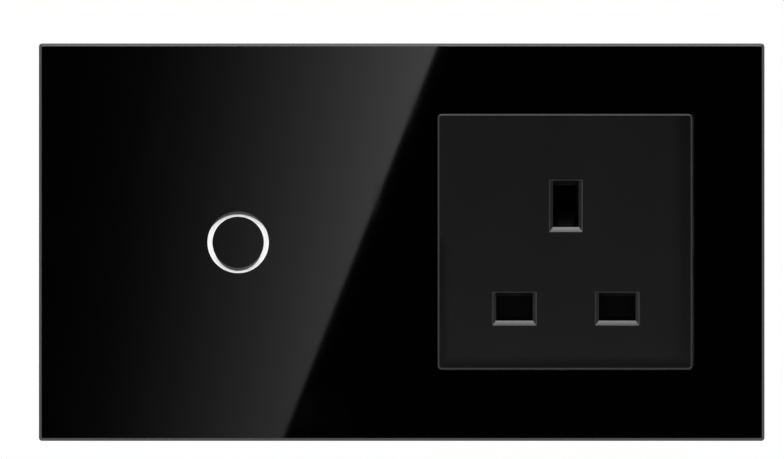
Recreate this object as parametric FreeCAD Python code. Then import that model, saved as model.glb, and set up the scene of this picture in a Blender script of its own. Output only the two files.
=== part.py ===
import FreeCAD, Part
import math
import os

os.makedirs("parts", exist_ok=True)

V = FreeCAD.Vector

# Glass wall panel for two gangs: a touch switch on the left and a 13 A socket on the right.
# Millimetres. X runs right as seen from the front, Z up, and the front faces -Y.
# The origin is the centre of the mounting plate's back face, which lies on the wall.

# whole panel
PANEL_H = 86.0
PROUD = 11.0

# glass sheet
GLASS_T = 4.0
GLASS_CORNER = 0.7
GLASS_BEVEL = 0.65
CUTOUT_BEVEL = 0.25
RING_R = 6.7
RING_BAND = 1.17
RING_DEPTH = 0.8
RING_SINK = 0.06
RING_DISH = 0.5

# adhesive sheet, moulded carrier and rim rails behind the glass
TAPE_T = 0.3
TAPE_INSET = 1.2
CARRIER_INSET = 0.6
CARRIER_T = 1.6
RIM_WALL = 1.8
RAIL_GAP = 0.2
WALL_GAP = 0.4
SENSOR_WINDOW_W = 30.0
SENSOR_WINDOW_NICK = 6.0
GUSSET_T = 1.2
GUSSET_REACH = 3.6
GUSSET_DEPTH = 3.0
GUSSETS_LONG = 8
GUSSETS_SHORT = 3
PRY_W = 9.0
PRY_H = 1.6
WINDOW_RIB_T = 1.2
WINDOW_RIB_DEPTH = 1.6
WINDOW_RIB_L = 15.0

# pegs of the carrier and the spring clips that grip them
PEG_W = 3.6
PEG_WEB = 1.2
PEG_TIP = 0.8
PEG_OUT = 22.0
PEG_GRIP = 0.05
PEG_HOLE_CLEAR = 0.9
CLIP_W = 9.0
CLIP_H = 7.6
CLIP_T = 0.4
CLIP_RISE = 1.7
CLIP_TONGUE_W = 2.6
CLIP_NICK = 1.0

# steel mounting plate
PLATE_INSET = 4.0
PLATE_T = 1.2
PLATE_NICK = 2.5
OPENING_CLEAR = 0.3
TAB_W = 8.0
TAB_LAP = 2.2
TAB_EDGE = 3.1
FIX_OUT = 6.15
FIX_HOLE_R = 1.9

# module bases, one box for each gang
GANG_GAP = 23.0
BOX_WALL = 2.0
BOX_ROOM = 0.985
BOX_CORNER = 1.6
BOX_CHAMFER = 0.8
BASE_DEPTH = 24.0
FLANGE_LAP = 2.0
FLANGE_T = 1.6
FLANGE_CORNER = 1.5
LUG_W = 12.0
LUG_REACH = 2.5

# general fits
THREAD_CLEAR = 0.05
HOLE_CLEAR = 0.15
MOULD_CLEAR = 0.2
RUN_CLEAR = 0.3

# fused pieces sink into each other by WELD, and cutters run on past a face by OVERRUN
WELD = 0.5
THIN_WELD = 0.3
OVERRUN = 1.0

# socket face, and the frame behind it that guides the shutter
FACE_LAP = 1.5
FRONT_CORNER = 1.1
FRONT_BEVEL = 0.4
INSERT_PROUD = 0.5
FRONT_GAP = 0.3
CARRIER_GAP = 0.6
FACE_T = 2.5
FRONT_HEAD_T = 5.0
APERTURE_BEVEL = 1.2
DOWEL_W = 1.6
DOWEL_L = 1.2

# flat-pin plug that the socket takes
PIN_SPACING = 22.23
PATTERN_Z = -3.3
LINE_PIN_W = 6.35
LINE_PIN_H = 4.0
EARTH_PIN_W = 4.0
EARTH_PIN_H = 8.0
PIN_CLEAR = 0.4

# contact cover
COVER_T = 1.5
COVER_REBATE = 0.9
COVER_INSET = 0.7

# shutter
SHUTTER_TRAVEL = 5.8
SHUTTER_T = 2.0
SHUTTER_HALF = 16.0
SHUTTER_LAP = 0.6
STEM_HALF = 3.0
RAMP_HALF = 1.9
RAMP_LEAD = 0.4
RAMP_STEM = 5.4
RAMP_OVER = 0.1
GUIDE_T = 1.1
GUIDE_SHORT = 2.0
SPRING_BLOCK_HALF = 4.0
SPRING_POCKET_DEPTH = 4.4
SPRING_R = 1.4
SPRING_WIRE = 0.4
SPRING_COILS = 5
SPRING_RUNS = 12
SPIGOT_L = 1.5

# contacts
STRIP_T = 0.6
LINE_STRIP_W = 5.6
EARTH_STRIP_H = 8.2
PINCH = 3.6
JAW_OPEN = 5.8
JAW_WIDE = 4.8
LIP_DEPTH = 10.0
PINCH_DEPTH = 11.6
JAW_BACK = 17.0
WEB_DEPTH = 18.4
EARTH_JAW_BACK = 22.0
EARTH_WEB_GAP = 0.6
EARTH_WEB_BACK = 2.5

# terminal blocks of the socket
BLOCK_W = 8.5
BLOCK_D = 9.0
BLOCK_H = 8.0
TUNNEL_R = 2.5
TERMINAL_SCREW_R = 1.6
TERMINAL_SCREW_L = 4.6
WIRE_WINDOW = 6.4
CELL_WALL = 1.2
CELL_SEAT = 1.0
CELL_BACKSET = 1.0
CELL_SHORT = 1.0
GRUB_SLOT = 0.6
ACCESS_R = 2.4

# long screws that close the socket from the rear
CLOSE_INSET = 4.4
CLOSE_R = 1.5
CLOSE_HEAD_R = 2.75
CLOSE_HEAD_T = 2.0
CLOSE_SINK = 0.4
CLOSE_TIP = 2.0
CLOSE_ROOF = 0.8
CLOSE_CORNERS = ((-1, 1), (1, -1))
POST_W = 7.0
BOSS_W = 6.2

# touch sensor module
TRAY_T = 0.8
TRAY_WALL = 1.4
SENSOR_T = 1.0
STAKE_W = 1.8
STAKE_INSET = 4.5
STAKE_HEAD_T = 0.2
STAKE_CORNERS = ((-1, -1), (1, 1))
PAD_W = 7.0
PAD_NICK = 1.6
PAD_WAIST = 0.4
PAD_WAIST_H = 0.7
CHIP_W = 5.0
CHIP_H = 2.0
CHIP_T = 1.1
CHIP_Z = -11.6
CHIP_LEGS = 3
CHIP_PITCH = 1.4
CHIP_LEG_L = 0.8
CHIP_LEG_W = 0.4
CHIP_LEG_T = 0.3
CHIP_LIFT = 0.1
HEADER_Z = -14.0
HEADER_W = 12.6
HEADER_H = 2.5
HEADER_END = 1.2
HEADER_WAIST = 0.4
HEADER_ROOM = 1.0
GUIDE_IN_W = 7.8
GUIDE_OUT_W = 14.4
SHIELD_WALL = 1.25
SHIELD_NICK = 0.9
GLASS_CLEAR = 0.1
LED_RING_R = 6.2
LED_W = 1.6
LED_H = 0.8
LED_COUNT = 4
SNAP_Z = 13.0
SNAP_W = 6.0
SNAP_T = 1.3
SNAP_HOOK = 0.9
SNAP_HOOK_L = 1.6
SNAP_Y = 2.0

# power board module behind the sensor
BOARD_ROOM = 2.0
BOARD_T = 1.6
BOARD_FRONT = 2.5
BOARD_NICK = 1.5
LEDGE_T = 1.6
LEDGE_X = 16.0
RELAY = (19.2, 15.3, 15.5)
RELAY_X = -9.9
RELAY_Z = 4.7
RELAY_EDGE = 0.6
FILM_CAP = (13.0, 11.0, 5.0)
FILM_CAP_X = 9.0
FILM_CAP_Z = 14.8
FILM_CAP_EDGE = 0.5
ROUND_CAP_R = 4.0
ROUND_CAP_L = 11.5
ROUND_CAP_X = 15.4
ROUND_CAP_Z = 5.0
BOBBIN = (9.6, 9.0, 5.8)
BOBBIN_NICK = 0.6
CORE = (5.8, 10.0, 9.4)
CORE_LIFT = 1.5
TRANSFORMER_X = 5.3
TRANSFORMER_Z = 5.0
VARISTOR_R = 4.0
VARISTOR_T = 3.4
VARISTOR_X = -8.0
VARISTOR_Z = 16.4
VARISTOR_LEAD_X = 2.4
FUSE_R = 1.9
FUSE_L = 9.0
FUSE_X = -17.9
FUSE_Z = -8.0
FUSE_LEG_INSET = 1.0
LEAD_W = 0.8
LEAD_L = 1.0
SWITCH_TERMINAL_X = 6.5
SWITCH_BLOCK_W = 7.0
SWITCH_BLOCK_D = 8.0
SWITCH_BLOCK_H = 8.0
SWITCH_TUNNEL_R = 2.0
SWITCH_WIRE_WINDOW = 5.4
SWITCH_SCREW_R = 1.25
SWITCH_SCREW_SINK = 0.5
HOUSING_WALL = 1.5
HOUSING_TOP_Z = -9.0
HOUSING_SLEEVE = 3.5

# levels along Y that follow from the sizes above
PLATE_FRONT = -PLATE_T
FLANGE_FRONT = PLATE_FRONT - FLANGE_T
GLASS_FRONT = -PROUD
GLASS_BACK = GLASS_FRONT + GLASS_T
TAPE_BACK = GLASS_BACK + TAPE_T
FLOOR_BACK = TAPE_BACK + CARRIER_T
FACE_FRONT = GLASS_FRONT - INSERT_PROUD
FACE_BACK = FACE_FRONT + FACE_T
COVER_BACK = FLANGE_FRONT + COVER_REBATE
COVER_FRONT = COVER_BACK - COVER_T
SHUTTER_FRONT = FACE_BACK + RUN_CLEAR
SHUTTER_BACK = COVER_FRONT - RUN_CLEAR
BASE_BACK = BASE_DEPTH
BOX_FLOOR = BASE_BACK - BOX_WALL
TRAY_FLOOR = FLANGE_FRONT - TRAY_T
SENSOR_FRONT = TRAY_FLOOR - SENSOR_T
BOARD_BACK = BOARD_FRONT + BOARD_T
SWITCH_BLOCK_FRONT = BOARD_BACK + HOUSING_WALL
SWITCH_BLOCK_BACK = SWITCH_BLOCK_FRONT + SWITCH_BLOCK_D
SWITCH_TUNNEL_Y = (SWITCH_BLOCK_FRONT + SWITCH_BLOCK_BACK) / 2
HOUSING_BACK = SWITCH_BLOCK_BACK + HOUSING_SLEEVE

# the pin pattern and the terminals, from the middle of the socket
EARTH_Z = PATTERN_Z + PIN_SPACING / 2
LINE_Z = PATTERN_Z - PIN_SPACING / 2
LINE_X = PIN_SPACING / 2
BLOCK_FRONT = FACE_FRONT + WEB_DEPTH + STRIP_T
BLOCK_BACK = BLOCK_FRONT + BLOCK_D
TUNNEL_Y = (BLOCK_FRONT + BLOCK_BACK) / 2
EARTH_WEB_Z = EARTH_Z + EARTH_PIN_H / 2 + EARTH_WEB_GAP
EARTH_BLOCK_Z = EARTH_WEB_Z + STRIP_T + BLOCK_H / 2

# each box holds the terminals, its flange and the face lap over it, and the panel reaches
# as far beside the gangs' centres as above them
BOX_W = 2 * (EARTH_BLOCK_Z + BLOCK_H / 2 + BOX_ROOM + BOX_WALL)
BOX_IN = BOX_W - 2 * BOX_WALL
FLANGE_W = BOX_W + 2 * FLANGE_LAP
FRONT_W = FLANGE_W + 2 * FACE_LAP
GANG_PITCH = BOX_W + GANG_GAP
PANEL_W = PANEL_H + GANG_PITCH
PLATE_W = PANEL_W - 2 * PLATE_INSET
PLATE_H = PANEL_H - 2 * PLATE_INSET
FIX_SPACING = BOX_W + 2 * FIX_OUT

# places across the panel
SOCKET_X = GANG_PITCH / 2
SWITCH_X = -GANG_PITCH / 2
PEG_X = SOCKET_X + PEG_OUT
PEG_Z = (FLANGE_W + PLATE_H) / 4
CAVITY_W = BOX_W + 2 * MOULD_CLEAR
SKIRT_W = FLANGE_W - MOULD_CLEAR
COVER_W = BOX_W - 2 * COVER_INSET
CLOSE_X = BOX_W / 2 - CLOSE_INSET
CLOSE_SEAT = BASE_BACK - CLOSE_HEAD_T - CLOSE_SINK
STAKE_X = SKIRT_W / 2 - STAKE_INSET
BOARD_W = BOX_IN - 2 * BOARD_ROOM
SWITCH_BLOCK_Z = HOUSING_TOP_Z - HOUSING_WALL - SWITCH_BLOCK_H / 2
HOUSING_BOTTOM_Z = SWITCH_BLOCK_Z - SWITCH_BLOCK_H / 2 - HOUSING_WALL


def slab(xa, xb, ya, yb, za, zb):
    # straight block between six planes, given in any order
    x0, x1 = sorted((xa, xb))
    y0, y1 = sorted((ya, yb))
    z0, z1 = sorted((za, zb))
    return Part.makeBox(x1 - x0, y1 - y0, z1 - z0, V(x0, y0, z0))


def is_along_y(edge):
    a = edge.Vertexes[0].Point
    b = edge.Vertexes[-1].Point
    return abs(a.x - b.x) < 1e-6 and abs(a.z - b.z) < 1e-6


def lies_at_y(edge, y):
    box = edge.BoundBox
    return abs(box.YMin - y) < 1e-6 and abs(box.YMax - y) < 1e-6


def plate(cx, cz, w, h, y0, y1, corner=0.0, nick=0.0, front=0.0, rear=0.0):
    # flat piece facing -Y: rounded or nicked corners, chamfered front or rear edges
    shape = slab(cx - w / 2, cx + w / 2, y0, y1, cz - h / 2, cz + h / 2)
    if corner > 0:
        shape = shape.makeFillet(corner, [e for e in shape.Edges if is_along_y(e)])
    if nick > 0:
        shape = shape.makeChamfer(nick, [e for e in shape.Edges if is_along_y(e)])
    if front > 0:
        shape = shape.makeChamfer(front, [e for e in shape.Edges if lies_at_y(e, y0)])
    if rear > 0:
        shape = shape.makeChamfer(rear, [e for e in shape.Edges if lies_at_y(e, y1)])
    return shape


def rod(x, z, r, y0, y1):
    return Part.makeCylinder(r, y1 - y0, V(x, y0, z), V(0, 1, 0))


def tube(x, z, r_in, r_out, y0, y1):
    return rod(x, z, r_out, y0, y1).cut(rod(x, z, r_in, y0, y1))


def rod_z(x, y, r, z0, z1):
    return Part.makeCylinder(r, z1 - z0, V(x, y, z0), V(0, 0, 1))


def joined(pieces):
    shape = pieces[0]
    for piece in pieces[1:]:
        shape = shape.fuse(piece)
    return shape.removeSplitter()


def carved(shape, tools):
    for tool in tools:
        shape = shape.cut(tool)
    return shape


def turned(profile, x, z):
    # body of revolution about the Y line through (x, z); profile points are (radius, y)
    points = [V(x + r, y, z) for r, y in profile]
    face = Part.Face(Part.makePolygon(points + [points[0]]))
    return face.revolve(V(x, 0, z), V(0, 1, 0), 360)


def across_x(profile, x0, x1):
    # prism along X; profile points are (y, z)
    points = [V(x0, y, z) for y, z in profile]
    face = Part.Face(Part.makePolygon(points + [points[0]]))
    return face.extrude(V(x1 - x0, 0, 0))


def along_z(profile, z0, z1):
    # prism along Z; profile points are (x, y)
    points = [V(x, y, z0) for x, y in profile]
    face = Part.Face(Part.makePolygon(points + [points[0]]))
    return face.extrude(V(0, 0, z1 - z0))


def ribbon(path, thick):
    # closed outline of a bent strip: the path, and the path moved sideways by its thickness
    moved = []
    last = len(path) - 1
    for i in range(last + 1):
        normals = []
        for a, b in ((i - 1, i), (i, i + 1)):
            if a < 0 or b > last:
                continue
            run = (path[b][0] - path[a][0], path[b][1] - path[a][1])
            size = math.hypot(run[0], run[1])
            normals.append((-run[1] / size, run[0] / size))
        mid = (sum(n[0] for n in normals), sum(n[1] for n in normals))
        size = math.hypot(mid[0], mid[1])
        mid = (mid[0] / size, mid[1] / size)
        mitre = thick / (mid[0] * normals[0][0] + mid[1] * normals[0][1])
        moved.append((path[i][0] + mid[0] * mitre, path[i][1] + mid[1] * mitre))
    return path + moved[::-1]


def grub_screw(x, z, y0, y1, r):
    # headless clamping screw with a slot at its rear end
    half = GRUB_SLOT / 2
    wide = r + OVERRUN
    slot = slab(x - wide, x + wide, y1 - r, y1 + OVERRUN, z - half, z + half)
    return rod(x, z, r, y0, y1).cut(slot)


def save(name, pieces):
    # one file for a single piece, or for a group of like pieces
    shape = pieces[0] if len(pieces) == 1 else Part.makeCompound(pieces)
    shape.exportStep("parts/" + name + ".step")


# glass panel with the engraved touch ring

def glass_panel():
    body = plate(
        0, 0, PANEL_W, PANEL_H, GLASS_FRONT, GLASS_BACK, corner=GLASS_CORNER, front=GLASS_BEVEL
    )
    hole_w = FRONT_W + 2 * FRONT_GAP
    hole_r = FRONT_CORNER + FRONT_GAP
    wide = hole_w + 2 * CUTOUT_BEVEL
    wide_r = hole_r + CUTOUT_BEVEL
    bottom = GLASS_FRONT + CUTOUT_BEVEL
    hole = plate(
        SOCKET_X, 0, hole_w, hole_w, GLASS_FRONT - OVERRUN, GLASS_BACK + OVERRUN, corner=hole_r
    )
    lip = plate(
        SOCKET_X, 0, wide, wide, bottom - 2 * CUTOUT_BEVEL, bottom, corner=wide_r, rear=CUTOUT_BEVEL
    )
    start = GLASS_FRONT - OVERRUN
    groove = tube(SWITCH_X, 0, RING_R - RING_BAND, RING_R, start, GLASS_FRONT + RING_DEPTH)
    return carved(body, [hole, lip, groove])


def touch_ring():
    # white filling of the groove, dished to a V across its band
    front = GLASS_FRONT + RING_SINK
    profile = [
        (RING_R - RING_BAND, front),
        (RING_R - RING_BAND / 2, front + RING_DISH),
        (RING_R, front),
        (RING_R, GLASS_FRONT + RING_DEPTH),
        (RING_R - RING_BAND, GLASS_FRONT + RING_DEPTH),
    ]
    return turned(profile, SWITCH_X, 0)


# adhesive sheet, moulded carrier and rim rails

def sensor_window(grow, y0, y1):
    # square hole with nicked corners that clears the touch sensor
    w = SENSOR_WINDOW_W + 2 * grow
    return plate(SWITCH_X, 0, w, w, y0, y1, nick=SENSOR_WINDOW_NICK)


def adhesive_tape():
    inset = CARRIER_INSET + TAPE_INSET
    body = plate(0, 0, PANEL_W - 2 * inset, PANEL_H - 2 * inset, GLASS_BACK, TAPE_BACK)
    window = FRONT_W + 2 * (CARRIER_GAP + TAPE_INSET)
    y0 = GLASS_BACK - OVERRUN
    y1 = TAPE_BACK + OVERRUN
    hole = plate(SOCKET_X, 0, window, window, y0, y1)
    return carved(body, [hole, sensor_window(TAPE_INSET, y0, y1)])


def peg_points():
    return [(x, z) for x in (-PEG_X, 0.0, PEG_X) for z in (-PEG_Z, PEG_Z)]


def peg(x, z):
    # cross-shaped moulded peg with a tapered tip
    tip = -WALL_GAP
    half = PEG_W / 2
    end = half - PEG_TIP / 2
    shoulder = tip - PEG_TIP
    upright = [
        (FLOOR_BACK, z - half), (shoulder, z - half), (tip, z - end),
        (tip, z + end), (shoulder, z + half), (FLOOR_BACK, z + half),
    ]
    level = [
        (x - half, FLOOR_BACK), (x - half, shoulder), (x - end, tip),
        (x + end, tip), (x + half, shoulder), (x + half, FLOOR_BACK),
    ]
    return [
        across_x(upright, x - PEG_WEB / 2, x + PEG_WEB / 2),
        along_z(level, z - PEG_WEB / 2, z + PEG_WEB / 2),
    ]


def carrier_size():
    return PANEL_W - 2 * CARRIER_INSET, PANEL_H - 2 * CARRIER_INSET


def panel_carrier():
    # moulded sheet glued behind the glass, with pegs for the clips and ribs beside its window
    w, h = carrier_size()
    window = FRONT_W + 2 * CARRIER_GAP
    rib_back = FLOOR_BACK + WINDOW_RIB_DEPTH
    adds = []
    for side in (-1, 1):
        inner = SOCKET_X + side * window / 2
        outer = inner + side * WINDOW_RIB_T
        for end in (-1, 1):
            z0 = end * (window / 2 - WINDOW_RIB_L)
            adds.append(slab(inner, outer, FLOOR_BACK, rib_back, z0, end * window / 2))
    for x, z in peg_points():
        adds += peg(x, z)
    sheet = plate(0, 0, w, h, TAPE_BACK, FLOOR_BACK, corner=GLASS_CORNER)
    y0 = TAPE_BACK - OVERRUN
    y1 = FLOOR_BACK + OVERRUN
    hole = plate(SOCKET_X, 0, window, window, y0, y1)
    return carved(joined([sheet] + adds), [hole, sensor_window(0, y0, y1)])


def long_gussets(side, in_w, in_h):
    # triangular ribs that stiffen an upper or lower rail
    foot_y = FLOOR_BACK + GUSSET_DEPTH
    root = side * (in_h / 2 + WELD)
    edge = side * in_h / 2
    tip = side * (in_h / 2 - GUSSET_REACH)
    profile = [(FLOOR_BACK, tip), (FLOOR_BACK, root), (foot_y, root), (foot_y, edge)]
    places = [in_w * ((i + 0.5) / GUSSETS_LONG - 0.5) for i in range(GUSSETS_LONG)]
    return [across_x(profile, x - GUSSET_T / 2, x + GUSSET_T / 2) for x in places]


def short_gussets(side, in_w, in_h):
    # triangular ribs that stiffen a left or right rail
    foot_y = FLOOR_BACK + GUSSET_DEPTH
    root = side * (in_w / 2 + WELD)
    edge = side * in_w / 2
    tip = side * (in_w / 2 - GUSSET_REACH)
    profile = [(tip, FLOOR_BACK), (root, FLOOR_BACK), (root, foot_y), (edge, foot_y)]
    places = [in_h * ((i + 0.5) / GUSSETS_SHORT - 0.5) for i in range(GUSSETS_SHORT)]
    return [along_z(profile, z - GUSSET_T / 2, z + GUSSET_T / 2) for z in places]


def rim_rails():
    # four rails bonded round the back of the carrier; the lower one has a notch to prise the panel off
    w, h = carrier_size()
    in_w = w - 2 * RIM_WALL
    in_h = h - 2 * RIM_WALL
    rim = plate(0, 0, w, h, FLOOR_BACK, -WALL_GAP, corner=GLASS_CORNER)
    rim = rim.cut(plate(0, 0, in_w, in_h, FLOOR_BACK - OVERRUN, OVERRUN))
    end = in_h / 2 - RAIL_GAP
    rails = []
    for side in (-1, 1):
        span = slab(-w, w, FLOOR_BACK, -WALL_GAP, side * in_h / 2, side * h)
        rails.append(joined([rim.common(span)] + long_gussets(side, in_w, in_h)))
        span = slab(side * in_w / 2, side * w, FLOOR_BACK, -WALL_GAP, -end, end)
        rails.append(joined([rim.common(span)] + short_gussets(side, in_w, in_h)))
    low = -h / 2 - OVERRUN
    notch = slab(-PRY_W / 2, PRY_W / 2, -WALL_GAP - PRY_H, OVERRUN, low, -in_h / 2 + OVERRUN)
    return [rail.cut(notch) for rail in rails]


# steel mounting plate and its spring clips

def lug_end():
    return FLANGE_W / 2 + LUG_REACH


def mounting_plate():
    # one plate for both gangs, with lanced tabs that fold over the lugs of the module bases
    body = plate(0, 0, PLATE_W, PLATE_H, PLATE_FRONT, 0, nick=PLATE_NICK)
    opening = BOX_W + 2 * OPENING_CLEAR
    tab_front = FLANGE_FRONT - PLATE_T
    stem = lug_end() + MOULD_CLEAR
    heel = stem + PLATE_T
    lap = lug_end() - TAB_LAP
    lance = PLATE_H / 2 - TAB_EDGE
    y0 = PLATE_FRONT - OVERRUN
    tabs = []
    tools = []
    for cx in (SWITCH_X, SOCKET_X):
        tools.append(plate(cx, 0, opening, opening, y0, OVERRUN, nick=BOX_CORNER))
        x0 = cx - TAB_W / 2
        x1 = cx + TAB_W / 2
        for side in (-1, 1):
            tools.append(rod(cx + side * FIX_SPACING / 2, 0, FIX_HOLE_R, y0, OVERRUN))
            tabs.append(slab(x0, x1, tab_front, PLATE_FRONT, side * stem, side * heel))
            tabs.append(slab(x0, x1, tab_front, FLANGE_FRONT, side * lap, side * heel))
            tools.append(slab(x0, x1, y0, OVERRUN, side * heel, side * lance))
    hole_w = PEG_W + 2 * PEG_HOLE_CLEAR
    tools += [plate(x, z, hole_w, hole_w, y0, OVERRUN) for x, z in peg_points()]
    return joined([carved(body, tools)] + tabs)


def retaining_clip(x, z):
    # flat spring leaf on the plate, with two raised tongues that grip a peg from above and below
    front = PLATE_FRONT - CLIP_T
    hole_w = PEG_W + 2 * PEG_HOLE_CLEAR
    leaf = plate(x, z, CLIP_W, CLIP_H, front, PLATE_FRONT, nick=CLIP_NICK)
    leaf = leaf.cut(plate(x, z, hole_w, hole_w, front - OVERRUN, PLATE_FRONT + OVERRUN))
    tongues = []
    for side in (-1, 1):
        foot = z + side * (hole_w / 2 + CLIP_T / 2)
        grip = z + side * (PEG_W / 2 + PEG_GRIP)
        lift = front - CLIP_RISE
        profile = [
            (front, foot), (lift, grip), (lift, grip + side * CLIP_T), (front, foot + side * CLIP_T)
        ]
        tongues.append(across_x(profile, x - CLIP_TONGUE_W / 2, x + CLIP_TONGUE_W / 2))
    return joined([leaf] + tongues)


# module base, shared by both gangs

def module_shell(cx):
    # box behind the wall line, with a flange and two lugs that lie on the front of the plate
    flange = plate(cx, 0, FLANGE_W, FLANGE_W, FLANGE_FRONT, PLATE_FRONT, nick=FLANGE_CORNER)
    lugs = slab(
        cx - LUG_W / 2, cx + LUG_W / 2, FLANGE_FRONT, PLATE_FRONT, -lug_end(), lug_end()
    )
    box = plate(cx, 0, BOX_W, BOX_W, PLATE_FRONT, BASE_BACK, nick=BOX_CORNER, rear=BOX_CHAMFER)
    hollow = plate(cx, 0, BOX_IN, BOX_IN, FLANGE_FRONT - OVERRUN, BOX_FLOOR)
    return joined([flange, lugs, box]).cut(hollow)


# socket face with its apertures, and the frame behind it

def pin_places():
    # place and section of the earth pin and of the two line pins
    return [
        (0.0, EARTH_Z, EARTH_PIN_W, EARTH_PIN_H),
        (-LINE_X, LINE_Z, LINE_PIN_W, LINE_PIN_H),
        (LINE_X, LINE_Z, LINE_PIN_W, LINE_PIN_H),
    ]


def pin_holes(grow, y0, y1):
    # the three pin holes, each wider than its pin by grow on every side
    return [
        plate(SOCKET_X + dx, dz, w + 2 * grow, h + 2 * grow, y0, y1) for dx, dz, w, h in pin_places()
    ]


def aperture_funnels():
    # mitred lead-in chamfers round the pin holes of the face
    bottom = FACE_FRONT + APERTURE_BEVEL
    grow = PIN_CLEAR + APERTURE_BEVEL
    return [
        plate(
            SOCKET_X + dx, dz, w + 2 * grow, h + 2 * grow,
            bottom - 2 * APERTURE_BEVEL, bottom, rear=APERTURE_BEVEL,
        )
        for dx, dz, w, h in pin_places()
    ]


def shutter_levels():
    reach = LINE_PIN_H / 2 + PIN_CLEAR + SHUTTER_LAP
    return LINE_Z + reach, LINE_Z - reach


def dowel_places():
    # a dowel in the middle of each wall of the frame
    reach = (FRONT_W + CAVITY_W) / 4
    return [(-reach, 0), (reach, 0), (0, -reach), (0, reach)]


def socket_face():
    # square face with a bevelled edge, mitred lead-ins and blind pockets for the frame's dowels
    face = plate(
        SOCKET_X, 0, FRONT_W, FRONT_W, FACE_FRONT, FACE_BACK, corner=FRONT_CORNER, front=FRONT_BEVEL
    )
    tools = pin_holes(PIN_CLEAR, FACE_FRONT - OVERRUN, FACE_BACK + OVERRUN) + aperture_funnels()
    pocket_w = DOWEL_W + 2 * THREAD_CLEAR
    pocket_front = FACE_BACK - DOWEL_L - MOULD_CLEAR
    for dx, dz in dowel_places():
        tools.append(plate(SOCKET_X + dx, dz, pocket_w, pocket_w, pocket_front, FACE_BACK + OVERRUN))
    return carved(face, tools)


def shutter_guides():
    # ribs that steer the shutter's bar and stem, and stop the bar from above
    y0 = FACE_BACK
    y1 = SHUTTER_BACK
    stop = shutter_levels()[0] + RUN_CLEAR
    stem_end = EARTH_Z - EARTH_PIN_H / 2 - PIN_CLEAR - GUIDE_SHORT
    root = -CAVITY_W / 2 - WELD
    ribs = []
    for side in (-1, 1):
        bar_x = SOCKET_X + side * (SHUTTER_HALF + RUN_CLEAR)
        stem_x = SOCKET_X + side * (STEM_HALF + RUN_CLEAR)
        bar_out = bar_x + side * GUIDE_T
        ribs.append(slab(bar_x, bar_out, y0, y1, root, stop + GUIDE_T))
        ribs.append(slab(stem_x, stem_x + side * GUIDE_T, y0, y1, stop, stem_end))
        ribs.append(slab(stem_x, bar_out, y0, y1, stop, stop + GUIDE_T))
    return ribs


def spring_axis_y():
    return (SHUTTER_FRONT + SHUTTER_BACK) / 2


def shutter_frame():
    # four walls behind the face, with dowels, the shutter's guides and the closing screws' bosses
    head_back = FACE_FRONT + FRONT_HEAD_T
    head = plate(SOCKET_X, 0, FRONT_W, FRONT_W, FACE_BACK, head_back, nick=FRONT_CORNER)
    skirt = plate(SOCKET_X, 0, SKIRT_W, SKIRT_W, head_back, FLANGE_FRONT, nick=FRONT_CORNER)
    cavity = plate(SOCKET_X, 0, CAVITY_W, CAVITY_W, FACE_BACK - OVERRUN, FLANGE_FRONT + OVERRUN)
    body = joined([head, skirt]).cut(cavity)
    wall = CAVITY_W / 2 + WELD
    boss_in = CLOSE_X - BOSS_W / 2
    boss_out = CLOSE_X + BOSS_W / 2
    adds = shutter_guides()
    for sx, sz in CLOSE_CORNERS:
        x0 = SOCKET_X + sx * boss_in
        x1 = SOCKET_X + sx * boss_out
        x2 = SOCKET_X + sx * wall
        adds.append(slab(x0, x2, FACE_BACK, COVER_FRONT, sz * boss_in, sz * wall))
        adds.append(slab(x0, x1, COVER_FRONT - WELD, COVER_BACK, sz * boss_in, sz * boss_out))
    for dx, dz in dowel_places():
        adds.append(
            plate(SOCKET_X + dx, dz, DOWEL_W, DOWEL_W, FACE_BACK - DOWEL_L, FACE_BACK + WELD)
        )
    spigot_r = SPRING_R - SPRING_WIRE / 2 - MOULD_CLEAR
    foot = -CAVITY_W / 2
    adds.append(rod_z(SOCKET_X, spring_axis_y(), spigot_r, foot - WELD, foot + SPIGOT_L))
    threads = []
    for sx, sz in CLOSE_CORNERS:
        x = SOCKET_X + sx * CLOSE_X
        r = CLOSE_R + THREAD_CLEAR
        threads.append(rod(x, sz * CLOSE_X, r, FACE_BACK + CLOSE_ROOF, COVER_BACK + OVERRUN))
    return carved(joined([body] + adds), threads)


# spring-loaded shutter behind the line apertures

def shutter():
    # one moulding: a bar that hides both line apertures, a stem, and the earth pin's ramp
    top, bottom = shutter_levels()
    bar_back = SHUTTER_FRONT + SHUTTER_T
    foot = EARTH_Z - EARTH_PIN_H / 2 - RAMP_LEAD
    rise = SHUTTER_TRAVEL + RAMP_OVER
    stem_top = foot - RAMP_STEM
    x = SOCKET_X
    bar = slab(x - SHUTTER_HALF, x + SHUTTER_HALF, SHUTTER_FRONT, bar_back, bottom, top)
    stem = slab(x - STEM_HALF, x + STEM_HALF, SHUTTER_FRONT, bar_back, top - WELD, stem_top)
    profile = [
        (SHUTTER_FRONT, stem_top - WELD),
        (SHUTTER_FRONT, foot),
        (SHUTTER_BACK, foot + rise),
        (SHUTTER_BACK, foot - RAMP_LEAD),
        (bar_back, stem_top - WELD),
    ]
    ramp = across_x(profile, x - RAMP_HALF, x + RAMP_HALF)
    half = SPRING_BLOCK_HALF
    block = slab(x - half, x + half, SHUTTER_FRONT, SHUTTER_BACK, bottom, top)
    pads = []
    for side in (-1, 1):
        outer = x + side * SHUTTER_HALF
        pads.append(slab(outer - side * GUIDE_T, outer, SHUTTER_FRONT, SHUTTER_BACK, bottom, top))
    body = joined([bar, stem, ramp, block] + pads)
    pocket_r = SPRING_R + SPRING_WIRE / 2 + MOULD_CLEAR
    pocket_top = bottom + SPRING_POCKET_DEPTH
    return body.cut(rod_z(x, spring_axis_y(), pocket_r, bottom - OVERRUN, pocket_top))


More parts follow.
